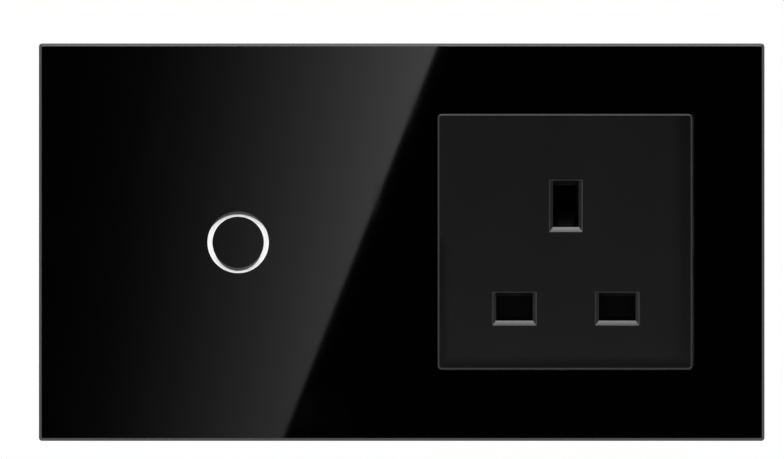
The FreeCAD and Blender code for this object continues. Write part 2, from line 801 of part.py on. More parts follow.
def shutter_spring():
    # coil between the shutter's pocket and the frame's lower wall, from straight runs of wire
    half = SPRING_WIRE / 2
    bottom = -CAVITY_W / 2 + half
    top = shutter_levels()[1] + SPRING_POCKET_DEPTH - half
    rise = top - bottom
    runs = SPRING_COILS * SPRING_RUNS
    points = []
    for i in range(runs + 1):
        angle = 2 * math.pi * i / SPRING_RUNS
        x = SOCKET_X + SPRING_R * math.cos(angle)
        y = spring_axis_y() + SPRING_R * math.sin(angle)
        points.append(V(x, y, bottom + rise * i / runs))
    x0 = SOCKET_X + SPRING_R - half
    x1 = SOCKET_X + SPRING_R + half
    y = spring_axis_y()
    section = [
        V(x0, y, bottom - half), V(x1, y, bottom - half), V(x1, y, bottom + half), V(x0, y, bottom + half)
    ]
    wire = Part.makePolygon(section + [section[0]])
    print("least gap between spring coils", round(rise / SPRING_COILS - SPRING_WIRE, 2))
    return Part.makePolygon(points).makePipeShell([wire], True, True, 1)


# fixed cover between the shutter and the contacts

def contact_cover():
    body = plate(SOCKET_X, 0, COVER_W, COVER_W, COVER_FRONT, COVER_BACK)
    y0 = COVER_FRONT - OVERRUN
    y1 = COVER_BACK + OVERRUN
    tools = pin_holes(PIN_CLEAR + MOULD_CLEAR, y0, y1)
    inner = CLOSE_X - BOSS_W / 2 - MOULD_CLEAR
    edge = COVER_W / 2 + OVERRUN
    for sx, sz in CLOSE_CORNERS:
        x0 = SOCKET_X + sx * inner
        x1 = SOCKET_X + sx * edge
        tools.append(slab(x0, x1, y0, y1, sz * inner, sz * edge))
    return carved(body, tools)


# contacts bent from bronze strip

def jaw_path(back, side, centre):
    # one leaf seen along its width: flared lip, pinch and the run to the rear
    pairs = [
        (LIP_DEPTH, JAW_OPEN / 2),
        (PINCH_DEPTH, PINCH / 2),
        (JAW_BACK, JAW_WIDE / 2),
        (back, JAW_WIDE / 2),
    ]
    return [(FACE_FRONT + d, centre + side * half) for d, half in pairs]


def line_contact(dx):
    x0 = SOCKET_X + dx - LINE_STRIP_W / 2
    x1 = SOCKET_X + dx + LINE_STRIP_W / 2
    back = WEB_DEPTH + STRIP_T
    upper = across_x(ribbon(jaw_path(back, 1, LINE_Z), STRIP_T), x0, x1)
    lower = across_x(ribbon(jaw_path(back, -1, LINE_Z), -STRIP_T), x0, x1)
    reach = JAW_WIDE / 2 + STRIP_T
    web = slab(x0, x1, FACE_FRONT + WEB_DEPTH, BLOCK_FRONT, LINE_Z - reach, LINE_Z + reach)
    return joined([upper, lower, web])


def earth_contact():
    # two leaves either side of the earth pin, hung from a web that carries the terminal
    pieces = []
    for side in (-1, 1):
        path = [(x, y) for y, x in jaw_path(EARTH_JAW_BACK, side, SOCKET_X)]
        leaf = along_z(ribbon(path, -side * STRIP_T), EARTH_WEB_Z - EARTH_STRIP_H, EARTH_WEB_Z)
        pieces.append(leaf)
    half = JAW_WIDE / 2 + STRIP_T
    web_front = FACE_FRONT + PINCH_DEPTH + EARTH_WEB_BACK
    web_top = EARTH_WEB_Z + STRIP_T
    pieces.append(slab(SOCKET_X - half, SOCKET_X + half, web_front, BLOCK_BACK, EARTH_WEB_Z, web_top))
    return joined(pieces)


# brass terminals of the socket

def terminal_places():
    # the live, neutral and earth terminals, and the side from which each wire enters
    return [
        (SOCKET_X + LINE_X, LINE_Z, -1),
        (SOCKET_X - LINE_X, LINE_Z, -1),
        (SOCKET_X, EARTH_BLOCK_Z, 1),
    ]


def terminal_block(place):
    x, z, side = place
    body = plate(x, z, BLOCK_W, BLOCK_H, BLOCK_FRONT, BLOCK_BACK)
    tunnel = rod_z(x, TUNNEL_Y, TUNNEL_R, z - BLOCK_H, z + BLOCK_H)
    thread = rod(x, z, TERMINAL_SCREW_R + THREAD_CLEAR, TUNNEL_Y, BLOCK_BACK + OVERRUN)
    return carved(body, [tunnel, thread])


def terminal_screws():
    start = TUNNEL_Y + TUNNEL_R + MOULD_CLEAR
    return [
        grub_screw(x, z, start, start + TERMINAL_SCREW_L, TERMINAL_SCREW_R)
        for x, z, side in terminal_places()
    ]


# rear box of the socket

def terminal_cell(place):
    # two walls that lead the wire to its block, hold the block sideways and seat its rear face
    x, z, side = place
    root = side * (BOX_IN / 2 + WELD)
    far = z - side * (BLOCK_H / 2 - CELL_SHORT)
    front = BLOCK_FRONT + CELL_BACKSET
    back = BOX_FLOOR + WELD
    pieces = []
    for way in (-1, 1):
        inner = x + way * (BLOCK_W / 2 + HOLE_CLEAR)
        outer = inner + way * CELL_WALL
        step = x + way * (BLOCK_W / 2 - CELL_SEAT)
        pieces.append(slab(inner, outer, front, back, root, far))
        pieces.append(slab(step, outer, BLOCK_BACK, back, root, far))
    return pieces


def socket_base():
    adds = []
    tools = []
    wall = BOX_IN / 2 + WELD
    post_in = wall - POST_W
    through = BASE_BACK + OVERRUN
    for sx, sz in CLOSE_CORNERS:
        x0 = SOCKET_X + sx * post_in
        x1 = SOCKET_X + sx * wall
        adds.append(slab(x0, x1, COVER_BACK, BOX_FLOOR + WELD, sz * post_in, sz * wall))
        x = SOCKET_X + sx * CLOSE_X
        z = sz * CLOSE_X
        tools.append(rod(x, z, CLOSE_R + HOLE_CLEAR, COVER_BACK - OVERRUN, through))
        seat_w = 2 * (CLOSE_HEAD_R + HOLE_CLEAR)
        tools.append(plate(x, z, seat_w, seat_w, CLOSE_SEAT, through))
    for place in terminal_places():
        x, z, side = place
        adds += terminal_cell(place)
        half = WIRE_WINDOW / 2
        z0 = side * (BOX_IN / 2 - OVERRUN)
        tools.append(slab(x - half, x + half, TUNNEL_Y - half, TUNNEL_Y + half, z0, side * BOX_W))
        tools.append(rod(x, z, ACCESS_R, BLOCK_BACK + OVERRUN, through))
    rebate_w = COVER_W + 2 * MOULD_CLEAR
    tools.append(plate(SOCKET_X, 0, rebate_w, rebate_w, FLANGE_FRONT - OVERRUN, COVER_BACK))
    return carved(joined([module_shell(SOCKET_X)] + adds), tools)


def socket_screws():
    # two long screws from the rear into the bosses of the shutter frame
    screws = []
    for sx, sz in CLOSE_CORNERS:
        x = SOCKET_X + sx * CLOSE_X
        z = sz * CLOSE_X
        head = rod(x, z, CLOSE_HEAD_R, CLOSE_SEAT, CLOSE_SEAT + CLOSE_HEAD_T)
        shank = rod(x, z, CLOSE_R, FACE_BACK + CLOSE_TIP, CLOSE_SEAT)
        screws.append(joined([head, shank]))
    return screws


# touch sensor module behind the ring

def sensor_tray():
    # shallow tray that carries the sensor board and snaps into the switch base
    body = plate(SWITCH_X, 0, SKIRT_W, SKIRT_W, SENSOR_FRONT, FLANGE_FRONT, nick=FRONT_CORNER)
    inner = SKIRT_W - 2 * TRAY_WALL
    body = body.cut(plate(SWITCH_X, 0, inner, inner, SENSOR_FRONT - OVERRUN, TRAY_FLOOR))
    adds = []
    for sx, sz in STAKE_CORNERS:
        x = SWITCH_X + sx * STAKE_X
        z = sz * STAKE_X
        adds.append(
            plate(x, z, STAKE_W, STAKE_W, SENSOR_FRONT - STAKE_HEAD_T, TRAY_FLOOR + THIN_WELD)
        )
    for side in (-1, 1):
        outer = SWITCH_X + side * (BOX_IN / 2 - MOULD_CLEAR)
        profile = [
            (outer - side * SNAP_T, FLANGE_FRONT - THIN_WELD),
            (outer, FLANGE_FRONT - THIN_WELD),
            (outer, SNAP_Y),
            (outer + side * SNAP_HOOK, SNAP_Y),
            (outer, SNAP_Y + SNAP_HOOK_L),
            (outer - side * SNAP_T, SNAP_Y + SNAP_HOOK_L),
        ]
        for end in (-1, 1):
            z = end * SNAP_Z
            adds.append(along_z(profile, z - SNAP_W / 2, z + SNAP_W / 2))
    w = HEADER_W + 2 * HEADER_ROOM
    h = HEADER_H + 2 * HEADER_ROOM
    window = plate(SWITCH_X, HEADER_Z, w, h, TRAY_FLOOR - OVERRUN, FLANGE_FRONT + OVERRUN)
    return joined([body] + adds).cut(window)


def sensor_board():
    w = SKIRT_W - 2 * TRAY_WALL - 2 * MOULD_CLEAR
    body = plate(SWITCH_X, 0, w, w, SENSOR_FRONT, TRAY_FLOOR)
    hole_w = STAKE_W + 2 * THREAD_CLEAR
    y0 = SENSOR_FRONT - OVERRUN
    y1 = TRAY_FLOOR + OVERRUN
    holes = [
        plate(SWITCH_X + sx * STAKE_X, sz * STAKE_X, hole_w, hole_w, y0, y1)
        for sx, sz in STAKE_CORNERS
    ]
    return carved(body, holes)


def touch_controller():
    # small chip with flat legs on the front of the sensor board
    x = SWITCH_X
    z0 = CHIP_Z - CHIP_H / 2
    z1 = CHIP_Z + CHIP_H / 2
    top = SENSOR_FRONT - CHIP_T
    pieces = [slab(x - CHIP_W / 2, x + CHIP_W / 2, top, SENSOR_FRONT - CHIP_LIFT, z0, z1)]
    leg_front = SENSOR_FRONT - CHIP_LEG_T
    for i in range(CHIP_LEGS):
        mid = x + (i - (CHIP_LEGS - 1) / 2) * CHIP_PITCH
        x0 = mid - CHIP_LEG_W / 2
        x1 = mid + CHIP_LEG_W / 2
        pieces.append(slab(x0, x1, leg_front, SENSOR_FRONT, z0 - CHIP_LEG_L, z1 + CHIP_LEG_L))
    return joined(pieces)


def status_leds():
    leds = []
    for i in range(LED_COUNT):
        angle = math.radians(45 + 360 * i / LED_COUNT)
        x = SWITCH_X + LED_RING_R * math.cos(angle)
        z = LED_RING_R * math.sin(angle)
        leds.append(plate(x, z, LED_W, LED_W, SENSOR_FRONT - LED_H, SENSOR_FRONT))
    return leds


def square_ring(outer_w, inner_w, y0, y1, nick=0.0):
    body = plate(SWITCH_X, 0, outer_w, outer_w, y0, y1, nick=nick)
    return body.cut(plate(SWITCH_X, 0, inner_w, inner_w, y0 - OVERRUN, y1 + OVERRUN))


def light_guide():
    # clear diffuser that stands on the lamps, close behind the glass under the engraved ring
    front = GLASS_BACK + GLASS_CLEAR
    return square_ring(GUIDE_OUT_W, GUIDE_IN_W, front, SENSOR_FRONT - LED_H)


def light_shield():
    # dark sleeve round the diffuser
    inner_w = GUIDE_OUT_W + 2 * HOLE_CLEAR
    outer_w = inner_w + 2 * SHIELD_WALL
    return square_ring(outer_w, inner_w, GLASS_BACK + GLASS_CLEAR, SENSOR_FRONT, nick=SHIELD_NICK)


def touch_pad():
    # conductive rubber pad between the sensor board and the glass, narrower at half its height
    front = GLASS_BACK + GLASS_CLEAR
    body = plate(SWITCH_X, 0, PAD_W, PAD_W, front, SENSOR_FRONT, nick=PAD_NICK)
    middle = (front + SENSOR_FRONT) / 2
    half = PAD_WAIST_H / 2
    groove = square_ring(
        PAD_W + 2 * OVERRUN, PAD_W - 2 * PAD_WAIST, middle - half, middle + half
    )
    return body.cut(groove)


def board_header():
    # pin strip that joins the sensor board to the power board behind it, waisted above and below
    body = plate(SWITCH_X, HEADER_Z, HEADER_W, HEADER_H, TRAY_FLOOR, BOARD_FRONT)
    x0 = SWITCH_X - HEADER_W / 2 + HEADER_END
    x1 = SWITCH_X + HEADER_W / 2 - HEADER_END
    y0 = TRAY_FLOOR + HEADER_END
    y1 = BOARD_FRONT - HEADER_END
    waists = []
    for side in (-1, 1):
        face = HEADER_Z + side * HEADER_H / 2
        waists.append(slab(x0, x1, y0, y1, face - HEADER_WAIST, face + HEADER_WAIST))
    return carved(body, waists)


# power board and its components

def power_board():
    return plate(SWITCH_X, 0, BOARD_W, BOARD_W, BOARD_FRONT, BOARD_BACK, nick=BOARD_NICK)


def boxed(size, x, z, edge):
    # moulded component body standing on the back of the power board
    w, deep, h = size
    return plate(SWITCH_X + x, z, w, h, BOARD_BACK, BOARD_BACK + deep, nick=edge, rear=edge)


def round_capacitor():
    # upright can
    x = SWITCH_X + ROUND_CAP_X
    return rod(x, ROUND_CAP_Z, ROUND_CAP_R, BOARD_BACK, BOARD_BACK + ROUND_CAP_L)


def supply_transformer():
    # wrapped bobbin with a core that stands out above and below it
    x = SWITCH_X + TRANSFORMER_X
    z = TRANSFORMER_Z
    w, deep, h = BOBBIN
    bobbin = plate(x, z, w, h, BOARD_BACK, BOARD_BACK + deep, nick=BOBBIN_NICK)
    w, deep, h = CORE
    core = plate(x, z, w, h, BOARD_BACK + CORE_LIFT, BOARD_BACK + deep)
    return joined([bobbin, core])


def varistor():
    # coated disc on two short leads
    y = BOARD_BACK + LEAD_L + VARISTOR_R
    x = SWITCH_X + VARISTOR_X
    z0 = VARISTOR_Z - VARISTOR_T / 2
    pieces = [rod_z(x, y, VARISTOR_R, z0, z0 + VARISTOR_T)]
    for side in (-1, 1):
        lead_x = x + side * VARISTOR_LEAD_X
        pieces.append(plate(lead_x, VARISTOR_Z, LEAD_W, LEAD_W, BOARD_BACK, y))
    return joined(pieces)


def fuse():
    # cartridge lying on two short legs
    y = BOARD_BACK + LEAD_L + FUSE_R
    x = SWITCH_X + FUSE_X
    pieces = [rod_z(x, y, FUSE_R, FUSE_Z - FUSE_L / 2, FUSE_Z + FUSE_L / 2)]
    for side in (-1, 1):
        leg_z = FUSE_Z + side * (FUSE_L / 2 - FUSE_LEG_INSET)
        pieces.append(plate(x, leg_z, LEAD_W, LEAD_W, BOARD_BACK, y))
    return joined(pieces)


# wire terminals of the switch

def switch_terminal_points():
    return [SWITCH_X - SWITCH_TERMINAL_X, SWITCH_X + SWITCH_TERMINAL_X]


def switch_block(x):
    half_w = SWITCH_BLOCK_W / 2
    half_h = SWITCH_BLOCK_H / 2
    return slab(
        x - half_w, x + half_w, SWITCH_BLOCK_FRONT, SWITCH_BLOCK_BACK,
        SWITCH_BLOCK_Z - half_h, SWITCH_BLOCK_Z + half_h,
    )


def switch_terminal(x):
    body = switch_block(x)
    z0 = SWITCH_BLOCK_Z - SWITCH_BLOCK_H
    z1 = SWITCH_BLOCK_Z + SWITCH_BLOCK_H
    tunnel = rod_z(x, SWITCH_TUNNEL_Y, SWITCH_TUNNEL_R, z0, z1)
    thread_r = SWITCH_SCREW_R + THREAD_CLEAR
    thread = rod(x, SWITCH_BLOCK_Z, thread_r, SWITCH_TUNNEL_Y, SWITCH_BLOCK_BACK + OVERRUN)
    return carved(body, [tunnel, thread])


def terminal_housing():
    # moulded double housing, open below for the wires and behind for the screwdriver
    half = SWITCH_TERMINAL_X + SWITCH_BLOCK_W / 2 + HOUSING_WALL
    body = slab(
        SWITCH_X - half, SWITCH_X + half, BOARD_BACK, HOUSING_BACK, HOUSING_BOTTOM_Z, HOUSING_TOP_Z
    )
    entry = SWITCH_TUNNEL_R + MOULD_CLEAR
    y0 = SWITCH_TUNNEL_Y - entry
    y1 = SWITCH_TUNNEL_Y + entry
    low = HOUSING_BOTTOM_Z - OVERRUN
    shaft_w = 2 * (SWITCH_SCREW_R + HOLE_CLEAR)
    shaft_front = SWITCH_BLOCK_BACK - OVERRUN
    shaft_back = HOUSING_BACK + OVERRUN
    tools = []
    for x in switch_terminal_points():
        tools.append(switch_block(x))
        tools.append(slab(x - entry, x + entry, y0, y1, low, SWITCH_BLOCK_Z))
        tools.append(plate(x, SWITCH_BLOCK_Z, shaft_w, shaft_w, shaft_front, shaft_back))
    return carved(body, tools)


def switch_terminal_screws():
    start = SWITCH_TUNNEL_Y + SWITCH_TUNNEL_R + MOULD_CLEAR
    return [
        grub_screw(x, SWITCH_BLOCK_Z, start, HOUSING_BACK - SWITCH_SCREW_SINK, SWITCH_SCREW_R)
        for x in switch_terminal_points()
    ]


# rear box of the switch

def switch_base():
    # box with ledges that seat the power board, snap windows, wire windows and screwdriver holes
    wall = BOX_IN / 2 + WELD
    inside = BOX_IN / 2 - OVERRUN
    adds = []
    tools = []
    half = LEDGE_T / 2
    reach = SNAP_W / 2 + MOULD_CLEAR
    snap_back = SNAP_Y + SNAP_HOOK_L + MOULD_CLEAR
    for side in (-1, 1):
        ledge = side * (BOARD_W / 2 - LEDGE_T)
        for way in (-1, 1):
            x = SWITCH_X + way * LEDGE_X
            adds.append(slab(x - half, x + half, BOARD_BACK, BOX_FLOOR + WELD, ledge, side * wall))
            x0 = SWITCH_X + side * inside
            x1 = SWITCH_X + side * BOX_W
            z = way * SNAP_Z
            tools.append(slab(x0, x1, SNAP_Y, snap_back, z - reach, z + reach))
    half = SWITCH_WIRE_WINDOW / 2
    y0 = SWITCH_TUNNEL_Y - half
    y1 = SWITCH_TUNNEL_Y + half
    for x in switch_terminal_points():
        tools.append(slab(x - half, x + half, y0, y1, -BOX_W, -inside))
        tools.append(rod(x, SWITCH_BLOCK_Z, ACCESS_R, BOX_FLOOR - OVERRUN, BASE_BACK + OVERRUN))
    return carved(joined([module_shell(SWITCH_X)] + adds), tools)


# front panel that pulls off
save("glass_panel", [glass_panel()])
save("touch_ring", [touch_ring()])
save("adhesive_tape", [adhesive_tape()])
save("panel_carrier", [panel_carrier()])
save("rim_rails", rim_rails())

# fixed plate and clips
save("mounting_plate", [mounting_plate()])
save("retaining_clips", [retaining_clip(x, z) for x, z in peg_points()])

# socket
save("socket_face", [socket_face()])
save("shutter_frame", [shutter_frame()])
save("shutter", [shutter()])
save("shutter_spring", [shutter_spring()])
save("contact_cover", [contact_cover()])
save("live_contact", [line_contact(LINE_X)])
save("neutral_contact", [line_contact(-LINE_X)])
save("earth_contact", [earth_contact()])
for terminal_name, terminal_place in zip(("live", "neutral", "earth"), terminal_places()):
    save(terminal_name + "_terminal", [terminal_block(terminal_place)])
save("terminal_screws", terminal_screws())
save("socket_base", [socket_base()])
save("socket_screws", socket_screws())

# touch switch
save("sensor_tray", [sensor_tray()])
save("sensor_board", [sensor_board()])
save("touch_controller", [touch_controller()])
save("status_leds", status_leds())
save("light_guide", [light_guide()])
save("light_shield", [light_shield()])
save("touch_pad", [touch_pad()])
save("board_header", [board_header()])
save("power_board", [power_board()])
save("relay", [boxed(RELAY, RELAY_X, RELAY_Z, RELAY_EDGE)])
save("film_capacitor", [boxed(FILM_CAP, FILM_CAP_X, FILM_CAP_Z, FILM_CAP_EDGE)])
save("round_capacitor", [round_capacitor()])
save("supply_transformer", [supply_transformer()])
save("varistor", [varistor()])
save("fuse", [fuse()])
save("terminal_housing", [terminal_housing()])
save("switch_terminals", [switch_terminal(x) for x in switch_terminal_points()])
save("switch_terminal_screws", switch_terminal_screws())
save("switch_base", [switch_base()])
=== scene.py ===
import math

import bmesh
import bpy
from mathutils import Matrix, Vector


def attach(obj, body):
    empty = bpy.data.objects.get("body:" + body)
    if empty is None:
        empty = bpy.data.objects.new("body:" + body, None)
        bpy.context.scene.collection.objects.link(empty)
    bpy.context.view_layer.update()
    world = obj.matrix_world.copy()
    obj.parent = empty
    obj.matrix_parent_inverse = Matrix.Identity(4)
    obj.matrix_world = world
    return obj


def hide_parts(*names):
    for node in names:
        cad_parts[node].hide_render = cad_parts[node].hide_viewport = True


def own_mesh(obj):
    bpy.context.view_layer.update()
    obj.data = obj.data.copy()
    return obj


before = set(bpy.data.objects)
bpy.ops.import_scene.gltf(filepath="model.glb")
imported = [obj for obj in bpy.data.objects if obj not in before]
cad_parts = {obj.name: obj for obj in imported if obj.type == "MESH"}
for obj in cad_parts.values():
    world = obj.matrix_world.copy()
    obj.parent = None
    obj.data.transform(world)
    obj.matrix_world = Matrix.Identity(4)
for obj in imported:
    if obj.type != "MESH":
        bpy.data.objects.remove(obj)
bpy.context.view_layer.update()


# The mounting plate is one sheet of zinc plated steel for both gangs, sheared, pierced and
# lanced in one blow. Its finish keeps the mill's rolling lines and the mottled bloom of the
# plating bath, and it is screwed flat to the wall boxes.

class Signal:
    """A number that runs through a tree of nodes; sums and products of it add Math nodes."""

    def __init__(self, tree, socket):
        self.tree = tree
        self.socket = socket

    def math(self, operation, a, b):
        return self.tree.math(operation, a, b)

    def __add__(self, other):
        return self.math("ADD", self, other)

    def __radd__(self, other):
        return self.math("ADD", other, self)

    def __sub__(self, other):
        return self.math("SUBTRACT", self, other)

    def __rsub__(self, other):
        return self.math("SUBTRACT", other, self)

    def __mul__(self, other):
        return self.math("MULTIPLY", self, other)

    def __rmul__(self, other):
        return self.math("MULTIPLY", other, self)

    def __pow__(self, other):
        return self.math("POWER", self, other)


class Tree:
    """A node tree built step by step; each node's result is a Signal that the next ones take."""

    prefix = "ShaderNode"
    shared = ("Math", "VectorMath", "CombineXYZ", "SeparateXYZ", "MapRange")

    def __init__(self, tree):
        self.tree = tree

    def feed(self, socket, value):
        if isinstance(value, Signal):
            self.tree.links.new(value.socket, socket)
        else:
            socket.default_value = value

    def node(self, kind, settings=None, inputs=None, out=0):
        made = self.tree.nodes.new(("ShaderNode" if kind in self.shared else self.prefix) + kind)
        for key, value in (settings or {}).items():
            setattr(made, key, value)
        for key, value in (inputs or {}).items():
            self.feed(made.inputs[key], value)
        return Signal(self, made.outputs[out])

    def math(self, operation, a, b=0.0):
        return self.node("Math", {"operation": operation}, {0: a, 1: b})

    def step(self, value, low, high, kind="SMOOTHSTEP"):
        """0 below low, 1 above high, and a smooth or straight rise between them."""
        return self.node("MapRange", {"interpolation_type": kind}, {
            "Value": value, "From Min": low, "From Max": high})

    def place(self, stretch=(1.0, 1.0, 1.0)):
        here = self.node("TexCoord", out="Object")
        return self.node("Mapping", None, {"Vector": here, "Scale": stretch})

    def axis(self, which):
        return self.node("SeparateXYZ", None, {0: self.place()}, out=which)


class Finish(Tree):
    """A material of this object: one Principled shader and the nodes that vary it."""

    def __init__(self, name, fixed):
        self.material = bpy.data.materials.new(name)
        self.material.use_nodes = True
        super().__init__(self.material.node_tree)
        self.shader = self.tree.nodes["Principled BSDF"]
        for socket, value in fixed.items():
            self.shader.inputs[socket].default_value = value

    def noise(self, scale, detail=2.0, stretch=(1.0, 1.0, 1.0), warp=0.0):
        return self.node("TexNoise", None, {
            "Vector": self.place(stretch), "Scale": scale, "Detail": detail, "Distortion": warp})

    def blend(self, share, a, b):
        return self.node("Mix", {"data_type": "RGBA"}, {
            0: share,
            6: a if isinstance(a, Signal) else (*a, 1.0),
            7: b if isinstance(b, Signal) else (*b, 1.0)}, out=2)

    def show(self, colour, roughness, relief=None, depth=0.0, edge=0.0):
        """Joins colour, roughness and relief to the shader; edge rounds sharp corners by that radius."""
        self.feed(self.shader.inputs["Base Color"], colour)
        self.feed(self.shader.inputs["Roughness"], roughness)
        normal = self.node("Bevel", {"samples": 4}, {"Radius": edge}) if edge else None
        if relief is not None:
            inputs = {"Height": relief, "Distance": depth, "Strength": 1.0}
            if normal is not None:
                inputs["Normal"] = normal
            normal = self.node("Bump", None, inputs)
        if normal is not None:
            self.feed(self.shader.inputs["Normal"], normal)
        return self.material


STAIN = 0.62


def rolled(name, dull, bright, rough, lines, edge):
    """Rolled sheet metal: fine lines along one axis, a mottled tone and a few stained spots."""
    finish = Finish(name, {"Metallic": 1.0})
    streak = finish.noise(scale=1400.0, detail=3.0, stretch=lines)
    bloom = finish.noise(scale=70.0, detail=5.0, warp=0.6)
    spots = finish.step(finish.noise(scale=420.0), low=0.62, high=0.74)
    tone = finish.blend(bloom * 0.7 + streak * 0.3, dull, bright)
    tone = finish.blend(spots * 0.35, tone, [part * STAIN for part in dull])
    return finish.show(tone, rough + streak * 0.12 + bloom * 0.14, relief=streak, depth=0.000004, edge=edge)


def dress(material, *names):
    """Gives a carried-over CAD node its finish."""
    for name in names:
        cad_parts[name].data.materials.clear()
        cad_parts[name].data.materials.append(material)


zinc_plate = rolled("zinc_plate", dull=(0.38, 0.39, 0.41), bright=(0.60, 0.60, 0.57), rough=0.24,
                    lines=(0.04, 1, 1), edge=0.00012)
dress(zinc_plate, "mounting_plate")


# Six clips of thin tempered spring strip are riveted over holes in the plate. Two raised
# tongues on each grip a peg of the glass panel. Each clip has a round rivet head either side.

MM = 0.001
PEG_X = 57.5
PEG_Z = 32.5
CLIP_FRONT = -1.6
RIVET_OUT = 3.6
RIVET_R = 0.72
RIVET_H = 0.36
RIVET_SIDE = (2.0, 0.5)
FORWARD = (math.radians(90), 0.0, 0.0)
ROUND_HEAD = 20
HEAD_RINGS = 6


class Grown(Tree):
    """A form that repeats or follows a path: a Geometry Nodes tree with named sizes."""

    prefix = "GeometryNode"

    def __init__(self, name, sizes, places):
        mesh = bpy.data.meshes.new(name)
        mesh.from_pydata([[c * MM for c in place] for place in places], [], [])
        self.made = bpy.data.objects.new(name, mesh)
        bpy.context.scene.collection.objects.link(self.made)
        super().__init__(bpy.data.node_groups.new(name, "GeometryNodeTree"))
        self.sizes = sizes
        self.keys = {}
        add = self.tree.interface.new_socket
        add("Places", in_out="INPUT", socket_type="NodeSocketGeometry")
        for key in sizes:
            self.keys[key] = add(key, in_out="INPUT", socket_type="NodeSocketFloat").identifier
        add("Form", in_out="OUTPUT", socket_type="NodeSocketGeometry")
        self.given = self.tree.nodes.new("NodeGroupInput").outputs

    def size(self, key):
        return Signal(self, self.given[key])

    def here(self, which):
        return self.node("SeparateXYZ", None, {0: self.node("InputPosition")}, out=which)

    def point(self, x=0.0, y=0.0, z=0.0):
        return self.node("CombineXYZ", None, {0: x, 1: y, 2: z})

    def circle(self, radius, corners):
        return self.node("CurvePrimitiveCircle", None, {"Resolution": corners, "Radius": radius})

    def sweep(self, path, section, caps=False):
        return self.node("CurveToMesh", None, {"Curve": path, "Profile Curve": section, "Fill Caps": caps})

    def repeat(self, form, turn=(0.0, 0.0, 0.0)):
        return self.node("InstanceOnPoints", None, {
            "Points": self.size("Places"), "Instance": form, "Rotation": turn})

    def bake(self, form, material, body, slot, *nodes):
        """Turns the tree's result into a plain mesh piece that rides on a body."""
        smooth = self.node("SetShadeSmooth", None, {"Geometry": form})
        real = self.node("RealizeInstances", None, {"Geometry": smooth})
        last = self.node("SetMaterial", None, {"Geometry": real, "Material": material})
        self.feed(self.tree.nodes.new("NodeGroupOutput").inputs[0], last)
        grow = self.made.modifiers.new("grow", "NODES")
        grow.node_group = self.tree
        for key, value in self.sizes.items():
            grow[self.keys[key]] = value
        graph = bpy.context.evaluated_depsgraph_get()
        mesh = bpy.data.meshes.new_from_object(self.made.evaluated_get(graph))
        self.made.modifiers.remove(grow)
        self.made.data = mesh
        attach(self.made, body)
        if nodes:
            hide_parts(*nodes)
        return self.made


def domes(name, places, radius, height, side, material):
    """Small round heads that look forwards; side is how their flanks bulge and fall."""
    grown = Grown(name, {"Head Radius": radius * MM, "Head Height": height * MM}, places)
    wide = grown.size("Head Radius")
    high = grown.size("Head Height")
    cone = grown.node("MeshCone", None, {
        "Vertices": ROUND_HEAD, "Side Segments": HEAD_RINGS, "Radius Top": 0.0, "Radius Bottom": wide,
        "Depth": high})
    x = grown.here(0)
    y = grown.here(1)
    bulge, fall = side
    share = (x * x + y * y) ** 0.5 * wide ** -1.0
    rise = grown.math("MAXIMUM", 1.0 - grown.math("MINIMUM", share, 1.0) ** bulge) ** fall * high
    head = grown.node("SetPosition", None, {"Geometry": cone, "Position": grown.point(x, y, rise)})
    grown.bake(grown.repeat(head, FORWARD), material, "frame", "plated_steel")


spring_strip = rolled("spring_strip", dull=(0.30, 0.31, 0.33), bright=(0.52, 0.51, 0.49), rough=0.2,
                      lines=(1, 1, 0.05), edge=0.00005)
dress(spring_strip, "retaining_clips")
rivets = [(x + side * RIVET_OUT, CLIP_FRONT, z)
          for x in (-PEG_X, 0.0, PEG_X) for z in (-PEG_Z, PEG_Z) for side in (-1, 1)]
domes("clip_rivets", rivets, RIVET_R, RIVET_H, RIVET_SIDE, spring_strip)


# The two rear boxes are light grey flame-resistant mouldings, spark-textured outside, with wire
# windows, screwdriver wells and ribs; the socket's box is painted near-black inside as painted
# shade. They drop through the plate and are held by its folded tabs.

SOCKET_X = 35.5
SWITCH_X = -35.5
BOX_HALF = 24.0
BOX_BACK = 24.0
BOX_FRONT = 1.6
SHADE_HALF = 22.5
SHADE_BLEND = 0.05
WELLS = ((46.615, -14.415), (24.385, -14.415), (35.5, 17.02), (-42.0, -14.5), (-29.0, -14.5))
COLLAR_R = 3.15
COLLAR_BEAD = 0.42
EJECTOR_X = 14.5
EJECTOR_ROWS = (-3.0, 9.5)
EJECTOR_SINK = 0.05
EJECTOR_R = 1.9
EJECTOR_BEAD = 0.16
REAR_RIB_ROWS = (-6.0, -2.0, 2.0, 6.0, 10.0)
REAR_RIB_L = 18.0
REAR_RIB_R = 0.45
SIDE_RIB_OUT = 20.0
SIDE_RIB_L = 19.0
SIDE_RIB_R = 0.5
BEAD_ROUND = 40
SECTION_ROUND = 10
BACKWARD = (math.radians(-90), 0.0, 0.0)


def grey(level):
    return (level, level, level)


def moulded(name, dark, light, rough, grain, depth, edge=0.0, fixed=None, where=None, deep=None):
    """Injection moulded plastic: spark-eroded texture, flow marks, round corners; painted shade, deep as
    where says.
    """
    finish = Finish(name, fixed or {})
    texture = finish.noise(scale=grain, detail=4.0)
    flow = finish.noise(scale=38.0, detail=3.0, stretch=(1.0, 1.0, 0.35), warp=1.2)
    tone = finish.blend(flow * 0.6 + texture * 0.4, dark, light)
    if where:
        # painted shade: the tone turns to the darker one over the mask
        tone = finish.blend(where(finish), tone, deep)
    return finish.show(tone, rough + texture * 0.16 + flow * 0.06, relief=texture, depth=depth, edge=edge)


def inside_shade_mask(finish):
    """Mask of painted shade: 1 on the inner faces of the socket's box, and 0 outside."""
    across = finish.math("ABSOLUTE", finish.axis("X") - SOCKET_X * MM)
    up = finish.math("ABSOLUTE", finish.axis("Z"))
    reach = finish.math("MAXIMUM", finish.math("MAXIMUM", across, up), finish.axis("Y"))
    return 1.0 - finish.step(reach, (SHADE_HALF - SHADE_BLEND) * MM, SHADE_HALF * MM)


